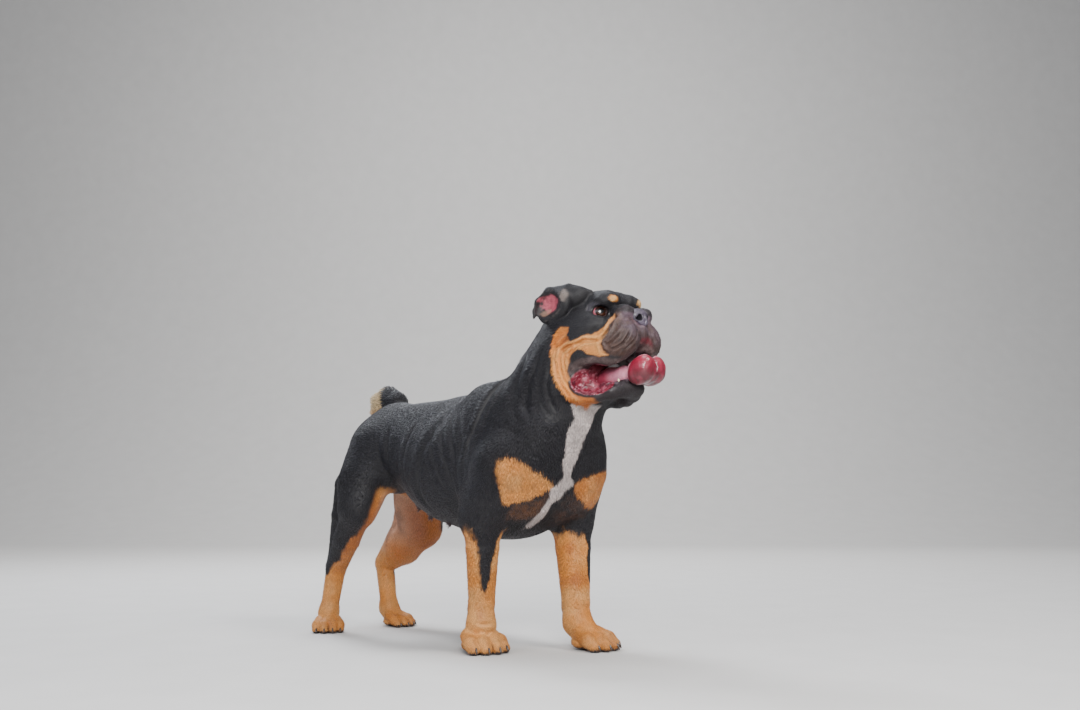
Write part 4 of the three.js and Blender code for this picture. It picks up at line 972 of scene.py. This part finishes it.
def flakes(at, n, way, long, wide, lift):
    """Thin closed tufts: a sunk root, a ridge across the middle and a tip that lies back down."""
    across = np.cross(n, way)
    arm = way * np.cos(lift * 1.5)[:, None] + n * np.sin(lift * 1.5)[:, None]
    mid = at + arm * (0.4 * long)[:, None]
    tip = at + (way * np.cos(lift)[:, None] + n * np.sin(lift)[:, None]) * long[:, None]
    half = across * (wide / 2)[:, None]
    root = at - n * 0.5
    v = np.stack([root, mid + half, mid - half, mid + n * (0.2 * wide)[:, None], tip], 1)
    return v.reshape(-1, 3), (np.arange(len(at))[:, None, None] * 5 + FLAKE[None]).reshape(-1, 3)


def grow(zone, corners, tris):
    """Tufts of one zone, evenly scattered over its triangles."""
    a, b, c = (V[corners[tris][:, i]] for i in range(3))
    middle = (a + b + c) / 3
    area = np.linalg.norm(np.cross(b - a, c - a), axis=1) / 2
    naked = BARE[corners[tris]].mean(1)
    weight = area * ease(0.6, 0.2, naked)
    h = to_head(middle)
    fine = ease(60, 30, middle[:, 2]) if zone in ("fore", "hind") else np.zeros(len(middle))
    if zone == "head":
        fine = ease(-10, 30, h[:, 0])
    weight *= 1 + 1.4 * fine
    total = np.cumsum(weight)
    count = TUFTS[zone] // 1
    pick = np.searchsorted(total, (np.arange(count) + chance.random(count)) / count * total[-1] * 0.999999)
    u, w = chance.random(count), chance.random(count)
    over = u + w > 1
    u[over], w[over] = 1 - u[over], 1 - w[over]
    blend3 = np.stack([1 - u - w, u, w], 1)
    chosen = corners[tris][pick]
    at = (V[chosen] * blend3[..., None]).sum(1)
    n = (N[chosen] * blend3[..., None]).sum(1)
    n /= np.linalg.norm(n, axis=1, keepdims=True)
    way = lie(at, n)
    swing = np.radians(9) * ragged(at, 14, 81) + np.radians(7) * chance.standard_normal(count)
    way = way * np.cos(swing)[:, None] + np.cross(n, way) * np.sin(swing)[:, None]
    h = to_head(at)
    z = at[:, 2]
    if zone == "head":
        short = np.maximum(ease(-20, 30, h[:, 0]), ease(50, 62, np.abs(h[:, 1])) * ease(0, 10, h[:, 2]))
        long = 6.2 - 3.6 * short
        wide = 0.9 - 0.35 * short
    elif zone in ("fore", "hind"):
        long = 4.0 + 2.6 * ease(40, 110, z)
        wide = 0.75 + 0.3 * ease(40, 110, z)
    else:
        long = np.full(count, 9.5 if zone == "neck" else 8.5)
        wide = np.full(count, 1.15)
    long = long * (0.75 + 0.5 * chance.random(count))
    wide = wide * (0.75 + 0.5 * chance.random(count))
    up = rises(at, n)
    lift = np.radians(3.2 + 3 * chance.random(count) + 13 * up)
    room = np.maximum((z - 0.5) / np.maximum(-way[:, 2], 0.05), 0.6)
    long = np.where(z + long * way[:, 2] < 0.5, room, long)
    v, f = flakes(at, n, way, long, wide, lift)
    colours, _, _ = paint(at, n)
    colours *= (1 + 0.09 * chance.standard_normal(count) + 0.10 * ragged(at, 11, 82)).clip(0.6, 1.5)[:, None]
    # painted shade and highlight: each tuft darker at the root and lighter towards the tip
    shade = np.array([0.94, 0.98, 0.98, 1.03, 1.08])
    tint = (colours[:, None] * shade[None, :, None]).reshape(-1, 3)
    spot = unwrap(zone, at)
    patch = 0.0015 * np.array([(0, -1), (-0.7, -0.1), (0.7, -0.1), (0, 0.15), (0, 1)])
    uv = (spot[:, None] + patch[None])[:, FLAKE.ravel()].reshape(-1, 2)
    ob = piece(f"coat_{zone}", v, f, fur_material, (), tint, {"Grain": v / 1000})
    layer = ob.data.uv_layers.new(name="OFBake")
    layer.data.foreach_set("uv", uv.astype(np.float32).ravel())


fur_material = coat_material("short_fur_tufts", False)
split = np.concatenate([Q[:, [0, 1, 2]], Q[:, [0, 2, 3]]])
at_zone = zones(V[Q].mean(1))
at_zone = np.concatenate([at_zone, at_zone])
for index, zone in enumerate(ZONES):
    if zone:
        grow(zone, split, np.nonzero(at_zone == index)[0])


# Eyes
def tube(rings, around):
    """Quads between rings of points, one ring after the other."""
    return [(i * around + j, (i + 1) * around + j,
             (i + 1) * around + (j + 1) % around, i * around + (j + 1) % around)
            for i in range(rings) for j in range(around)]


def ball_net(rings, around):
    """Unit ball with its pole on +x, where the pupil is."""
    tilt = np.linspace(0, math.pi, rings + 1)
    turn = np.arange(around) * 2 * math.pi / around
    v = np.stack([np.cos(tilt)[:, None] + 0 * turn, np.sin(tilt)[:, None] * np.cos(turn),
                  np.sin(tilt)[:, None] * np.sin(turn)], -1).reshape(-1, 3)
    return v, tube(rings, around)


def eye_material():
    m, nt, shader = material("eye_wet", Roughness=0.25, Specular_IOR_Level=0.5,
                             Coat_Weight=1.0, Coat_Roughness=0.03)
    coat = attribute(nt, "Coat")
    colour, _ = grainy(nt, coat.outputs["Color"], attribute(nt, "Grain").outputs["Vector"], 600, 0.18)
    nt.links.new(colour, shader.inputs["Base Color"])
    return m


eye_look = eye_material()
unit, eye_faces = ball_net(72, 96)
for s, side in ((-1, "r"), (1, "l")):
    tilt = np.degrees(np.arccos(np.clip(unit[:, 0], -1, 1)))
    spin = np.degrees(np.arctan2(unit[:, 2], unit[:, 1]))
    bulge = 1 + 0.045 * ease(40, 26, tilt)
    look = np.array([math.cos(math.radians(EYE_TURN)), s * math.sin(math.radians(EYE_TURN)), 0.0])
    look = look + [0.06, 0, 0.05]
    look /= np.linalg.norm(look)
    across = np.cross([0, 0, 1.0], look)
    across /= np.linalg.norm(across)
    axes3 = np.stack([look, across, np.cross(look, across)])
    eye_v = from_head((unit * bulge[:, None] * (EYE_R - 0.25)) @ axes3 + EYE_AT * [1, s, 1])
    fibres = 0.75 + 0.35 * noise(np.stack([spin / 4, tilt * 0.15, spin * 0], 1), 1, 51)
    eye_col = np.tile(srgb("#5c4140"), (len(unit), 1))
    back = ease(0.1, 0.6, s * unit[:, 1] - 0.5 * unit[:, 2]) * ease(42, 50, tilt)
    lay(eye_col, back, srgb("#a85a66"))
    iris = srgb("#2b130b") * fibres[:, None]
    lay(iris, ease(0.1, 0.8, -unit[:, 2] / (np.sin(np.radians(tilt)) + 0.01)) * 0.5, srgb("#552c18"))
    ring = ease(43, 40, tilt)[:, None]
    eye_col = eye_col + (iris - eye_col) * ring
    lay(eye_col, ease(33, 40, tilt) * ease(47, 42, tilt) * 0.9, srgb("#140a08"))
    lay(eye_col, ease(25, 21, tilt), srgb("#030203"))
    piece(f"eyeball_{side}", eye_v, eye_faces, eye_look, [f"eye_{side}"], eye_col,
          {"Grain": unit * EYE_R / 1000})


# Nose, tongue, teeth and claws
def box_grid(lo, hi, pitch):
    a = np.array([from_head([x, y, z])
                  for x in (lo[0], hi[0]) for y in (lo[1], hi[1]) for z in (lo[2], hi[2])])
    return [steps((u, w, pitch)) for u, w in zip(a.min(0), a.max(0))]


def wet_material(name, scale, bump, rough, coat_weight, **more):
    m, nt, shader = material(name, Roughness=rough, Coat_Weight=coat_weight, Coat_Roughness=0.12, **more)
    coat = attribute(nt, "Coat")
    grain = attribute(nt, "Grain").outputs["Vector"]
    colour, _ = grainy(nt, coat.outputs["Color"], grain, scale / 2, 0.14)
    nt.links.new(colour, shader.inputs["Base Color"])
    cells = node(nt, "ShaderNodeTexVoronoi", {"Vector": grain, "Scale": scale}, feature="SMOOTH_F1")
    mound = node(nt, "ShaderNodeBump", {"Height": cells.outputs["Distance"], "Strength": bump,
                                        "Distance": 0.0005}, invert=True)
    nt.links.new(mound.outputs[0], shader.inputs["Normal"])
    return m


nose_v, nose_q = net(lambda p: nose_pad(to_head(p)), *box_grid([72, -26, -38], [112, 26, 10], 0.8), margin=5)
nh = to_head(nose_v)
nose_n = normals_of(nose_v, nose_q)
pebbles = 0.16 * noise(nh, 1.5, 61) + 0.1 * noise(nh, 0.9, 62)
deep = ease(1.5, -0.5, np.minimum(*[g(nh) for g in nostrils]))
nose_v = nose_v + nose_n * (pebbles * (1 - deep))[:, None]
nose_col = np.tile(srgb("#3a3340"), (len(nh), 1))
lay(nose_col, ease(-18, -30, nh[:, 2]) * 0.5, srgb("#63566a"))
lay(nose_col, ease(0, 0.8, ragged(nh, 3, 63)) * 0.3, srgb("#6a5f6e"))
# painted shade: the nostrils near black inside
lay(nose_col, deep, srgb("#070607"))
piece("nose_leather", nose_v, nose_q, wet_material("nose_leather", 900, 0.6, 0.45, 0.12),
      ["nose"], nose_col, {"Grain": nh / 1000})

tongue_v, tongue_q = net(lambda p: tongue_shape(to_head(p)),
                         *box_grid([-46, -34, -130], [122, 34, -56], 1.3), margin=6)
th = to_head(tongue_v)
tongue_n = normals_of(tongue_v, tongue_q)
hn = tongue_n @ HEAD_TURN
dish = sum(np.exp(-((th - [112, y, -97]) ** 2).sum(1) / 110) for y in (-13, 14))
swell = 0.25 * noise(th, 2.2, 71) + 0.5 * noise(th, 9, 72) - 3.0 * dish + 1.7 * ease(92, 104, th[:, 0])
tongue_v = tongue_v + tongue_n * swell[:, None]
front = ease(77, 82, th[:, 0] - 0.5 * (th[:, 2] + 90)) * ease(-0.35, 0.0, hn[:, 0] - 0.4 * hn[:, 2] + 0.35)
tongue_col = np.tile(srgb("#b87487"), (len(th), 1))
lay(tongue_col, ease(46, 20, th[:, 0]), srgb("#8e3145"))
# painted shade: the red front of the tongue darker towards the bottom
shade = ease(-80, -112, th[:, 2])[:, None]
lay(tongue_col, front, srgb("#84122c") * (1 - shade) + srgb("#4c0918") * shade)
lay(tongue_col, front * ease(-0.3, 0.8, ragged(th * [1, 1, 0.5], 6, 73)) * 0.3, srgb("#a22c48"))
lay(tongue_col, front * ease(0.1, 0.9, ragged(th, 2.5, 74)) * 0.3, srgb("#700f24"))
# painted shade: dark red in the middle groove of the tongue tip
lay(tongue_col, ease(4, 0.6, np.abs(th[:, 1] - 0.5)) * ease(84, 92, th[:, 0]) * 0.6, srgb("#470a19"))
# painted highlight: pale pink rim along the top and the near edge of the curled tip
edge = ease(0.7, 0.92, hn[:, 2]) * ease(86, 92, th[:, 0]) * ease(-90, -84, th[:, 2])
side_rim_highlight = np.exp(-((th[:, 0] - 0.5 * (th[:, 2] + 90) - 78) / 1.8) ** 2) * (np.abs(th[:, 1]) > 8)
lay(tongue_col, np.clip(np.maximum(edge, side_rim_highlight), 0, 1) * 0.85, srgb("#eba3af"))
tongue_look = wet_material("tongue_wet", 1100, 0.4, 0.4, 0.35,
                           Subsurface_Weight=0.08, Subsurface_Scale=0.004)
piece("tongue_wet", tongue_v, tongue_q, tongue_look, ["tongue"], tongue_col, {"Grain": th / 1000})


HORN_RINGS, HORN_AROUND = 14, 20


def horn(start, bend, tip, radius):
    """A curved, tapering horn from its root to a blunt tip."""
    rings, around = HORN_RINGS, HORN_AROUND
    start, bend, tip = (np.array(q, float) for q in (start, bend, tip))
    v = []
    for i in range(rings + 1):
        t = i / rings
        c = (1 - t) ** 2 * start + 2 * t * (1 - t) * bend + t * t * tip
        a = (1 - t) * (bend - start) + t * (tip - bend)
        a /= np.linalg.norm(a)
        across = np.cross(a, [0.02, 0.03, 1])
        across /= np.linalg.norm(across)
        up = np.cross(across, a)
        r = radius * (1 - 0.78 * t ** 1.3)
        for j in range(around):
            w = 2 * math.pi * j / around
            v.append(c + across * math.cos(w) * r * 0.85 + up * math.sin(w) * r)
    v = np.array(v + [start, tip + a * radius * 0.12])
    last = rings * around
    f = tube(rings, around)
    f += [(len(v) - 2, j, (j + 1) % around, (j + 1) % around) for j in range(around)]
    f += [(len(v) - 1, last + (j + 1) % around, last + j, last + j) for j in range(around)]
    return v, f


def fan(name, parts, look, nodes, tint):
    """Several horns as one piece."""
    vs, fs, cs, gs, at = [], [], [], [], 0
    for v, f in parts:
        t = np.r_[np.repeat(np.linspace(0, 1, HORN_RINGS + 1), HORN_AROUND), 0, 1]
        fs += [tuple(i + at for i in q) for q in f]
        vs.append(v)
        cs.append(tint(t))
        gs.append(np.stack([t * 3, np.arange(len(v)) % HORN_AROUND * 0.5, t * 0], 1) / 1000 + v / 4000)
        at += len(v)
    v = np.concatenate(vs)
    faces = [q[:3] if q[2] == q[3] else q for q in fs]
    me = bpy.data.meshes.new(name)
    me.from_pydata(((v + SHIFT) / 1000).tolist(), [], faces)
    me.polygons.foreach_set("use_smooth", np.full(len(faces), True))
    layer = me.attributes.new("Coat", "FLOAT_COLOR", "POINT")
    layer.data.foreach_set("color", np.c_[np.concatenate(cs), np.ones(len(v))].astype(np.float32).ravel())
    grain = me.attributes.new("Grain", "FLOAT_VECTOR", "POINT")
    grain.data.foreach_set("vector", np.concatenate(gs).astype(np.float32).ravel())
    ob = bpy.data.objects.new(name, me)
    bpy.context.scene.collection.objects.link(ob)
    me.materials.append(look)
    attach(ob, "root")
    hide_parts(*nodes)
    return ob


def enamel_tint(t):
    c = np.tile(srgb("#d8c7a0"), (len(t), 1))
    lay(c, ease(0.35, 0, t), srgb("#c79a7a"))
    return c


# Lower canines, then four incisors on each side of the middle
tooth_parts = [horn(from_head([52, s * 19, -116]), from_head([55, s * 20.5, -108]),
                    from_head([54, s * 21.5, -101]), 3.8) for s in (-1, 1)]
for s in (-1, 1):
    for k, (tx, ty) in enumerate([(60, 15), (63, 10.5), (65, 6), (66, 2)]):
        tooth_parts.append(horn(from_head([tx - 1, s * ty, -116]), from_head([tx + 0.5, s * ty, -110]),
                                from_head([tx + 1, s * ty, -106.5]), 2.4))
enamel = wet_material("enamel", 500, 0.08, 0.22, 0.5)
fan("teeth", tooth_parts, enamel, ["tooth_r", "tooth_l"], enamel_tint)


def claw_tint(t):
    c = np.tile(srgb("#231c1b"), (len(t), 1))
    lay(c, ease(0.2, 0.9, t) * 0.35, srgb("#5b4b42"))
    lay(c, ease(0.12, 0, t), srgb("#3a2a22"))
    return c


claw_parts, claw_nodes = [], []
for legs, size, label in ((FORELEGS, FOREPAW, "front"), (HINDLEGS, HINDPAW, "hind")):
    for leg in legs:
        at = paw_frame(leg, size)
        for i, t in enumerate(TOES):
            lead = toe_lead(t)
            claw_parts.append(horn(at(24 + lead, t * 1.04, 11), at(25 + lead + CLAW_LONG * 0.7, t * 1.06, 11.5),
                                   at(25 + lead + CLAW_LONG * 0.9, t * 1.07, 2.8), CLAW_R * size))
            claw_nodes.append(f"claw_{label}_{leg['name']}_{i + 1}")
fan("claws", claw_parts, wet_material("claw_horn", 700, 0.15, 0.35, 0.2), claw_nodes, claw_tint)


# Floor, light and camera
def plain(name, colour, rough, scale):
    m, nt, shader = material(name, Roughness=rough, Specular_IOR_Level=0.25)
    place = node(nt, "ShaderNodeTexCoord").outputs["Object"]
    grain = node(nt, "ShaderNodeTexNoise", {"Vector": place, "Scale": scale, "Detail": 5})
    ramp = node(nt, "ShaderNodeMapRange", {"Value": grain.outputs["Fac"], "To Min": 0.94, "To Max": 1.06})
    tone = node(nt, "ShaderNodeVectorMath", {0: colour, 1: ramp.outputs[0]}, operation="MULTIPLY")
    nt.links.new(tone.outputs[0], shader.inputs["Base Color"])
    return m


# The camera in the dog's own frame, solved from the four paws on the floor
CAMERA_AT = np.array([1.39, -1.196, 0.213])
CAMERA_PITCH = math.radians(8.5)
VIEW = np.array([-0.6994, 0.7147, 0.0])
RIGHT = np.array([0.7147, 0.6994, 0.0])
SIDE = SHIFT / 1000
# The floor runs on and bends up into the backdrop
WIDE, NEAR_END, FAR_END, BEND, RISE = 30.0, -30.0, 5.0, 3.5, 9.0
profile = [(NEAR_END, 0.0), (-2.0, 0.0), (2.0, 0.0)]
profile += [(FAR_END + BEND * math.sin(a), BEND - BEND * math.cos(a))
            for a in np.linspace(0, math.pi / 2, 40)]
profile += [(FAR_END + BEND, RISE)]
floor_v = np.array([VIEW * u + RIGHT * v + [0, 0, w] for u, w in profile for v in (-WIDE, WIDE)])
me = bpy.data.meshes.new("floor")
strips = [(2 * i, 2 * i + 1, 2 * i + 3, 2 * i + 2) for i in range(len(profile) - 1)]
me.from_pydata(floor_v.tolist(), [], strips)
me.polygons.foreach_set("use_smooth", np.full(len(me.polygons), True))
floor = bpy.data.objects.new("floor", me)
bpy.context.scene.collection.objects.link(floor)
me.materials.append(plain("pale_floor", (0.55, 0.54, 0.53), 0.8, 9))


def lamp(name, place, target, size, power, colour, roll=(0, 0, 1)):
    light = bpy.data.lights.new(name, "AREA")
    light.shape, light.size, light.energy, light.color = "DISK", size, power, colour
    ob = bpy.data.objects.new(name, light)
    ob.location = place
    aim(ob, np.array(target) - place, roll)
    bpy.context.scene.collection.objects.link(ob)


def aim(ob, way, roll=(0, 0, 1)):
    way = np.asarray(way, float) / np.linalg.norm(way)
    right = np.cross(way, roll)
    right /= np.linalg.norm(right)
    up = np.cross(right, way)
    ob.rotation_euler = Matrix(np.stack([right, up, -way], 1).tolist()).to_euler()


centre = np.array([0.08, -0.02, 0.3])
muzzle_at = (from_head([70, -20, 0]) + SHIFT) / 1000
to_camera = CAMERA_AT + SIDE - muzzle_at
to_camera /= np.linalg.norm(to_camera)
lamp("key", centre - VIEW * 1.2 + RIGHT * 1.6 + [0, 0, 2.3], centre, 1.0, 56, (1, 0.965, 0.93))
lamp("fill", centre - VIEW * 1.9 - RIGHT * 2.4 + [0, 0, 1.5], centre, 2.0, 34, (0.84, 0.9, 1))
lamp("rim", centre + VIEW * 1.8 - RIGHT * 1.2 + [0, 0, 2.3], centre + [0, 0, 0.1], 1.2, 90, (0.9, 0.94, 1))
lamp("top", centre + [0, 0, 3.0], centre, 1.6, 48, (0.92, 0.95, 1), (0, 1, 0))
lamp("glint", muzzle_at + to_camera * 1.7 + RIGHT * 0.12 + [0, 0, 0.82], muzzle_at, 0.75, 52, (1, 0.99, 0.97))
lamp("backdrop", VIEW * 2.6 + [0, 0, 4.5], VIEW * 7.5 + [0, 0, 1.2], 3.0, 420, (1, 1, 1))

world = bpy.data.worlds.new("studio")
bpy.context.scene.world = world
world.use_nodes = True
world.node_tree.nodes["Background"].inputs["Color"].default_value = (0.80, 0.83, 0.88, 1)
world.node_tree.nodes["Background"].inputs["Strength"].default_value = 0.4

camera_data = bpy.data.cameras.new("camera")
camera_data.lens = 35
camera_data.sensor_width = 36
camera_data.sensor_fit = "HORIZONTAL"
camera_data.clip_start, camera_data.clip_end = 0.05, 60
camera = bpy.data.objects.new("camera", camera_data)
bpy.context.scene.collection.objects.link(camera)
camera.location = CAMERA_AT + SIDE
aim(camera, VIEW * math.cos(CAMERA_PITCH) + np.array([0, 0, math.sin(CAMERA_PITCH)]))
bpy.context.scene.camera = camera
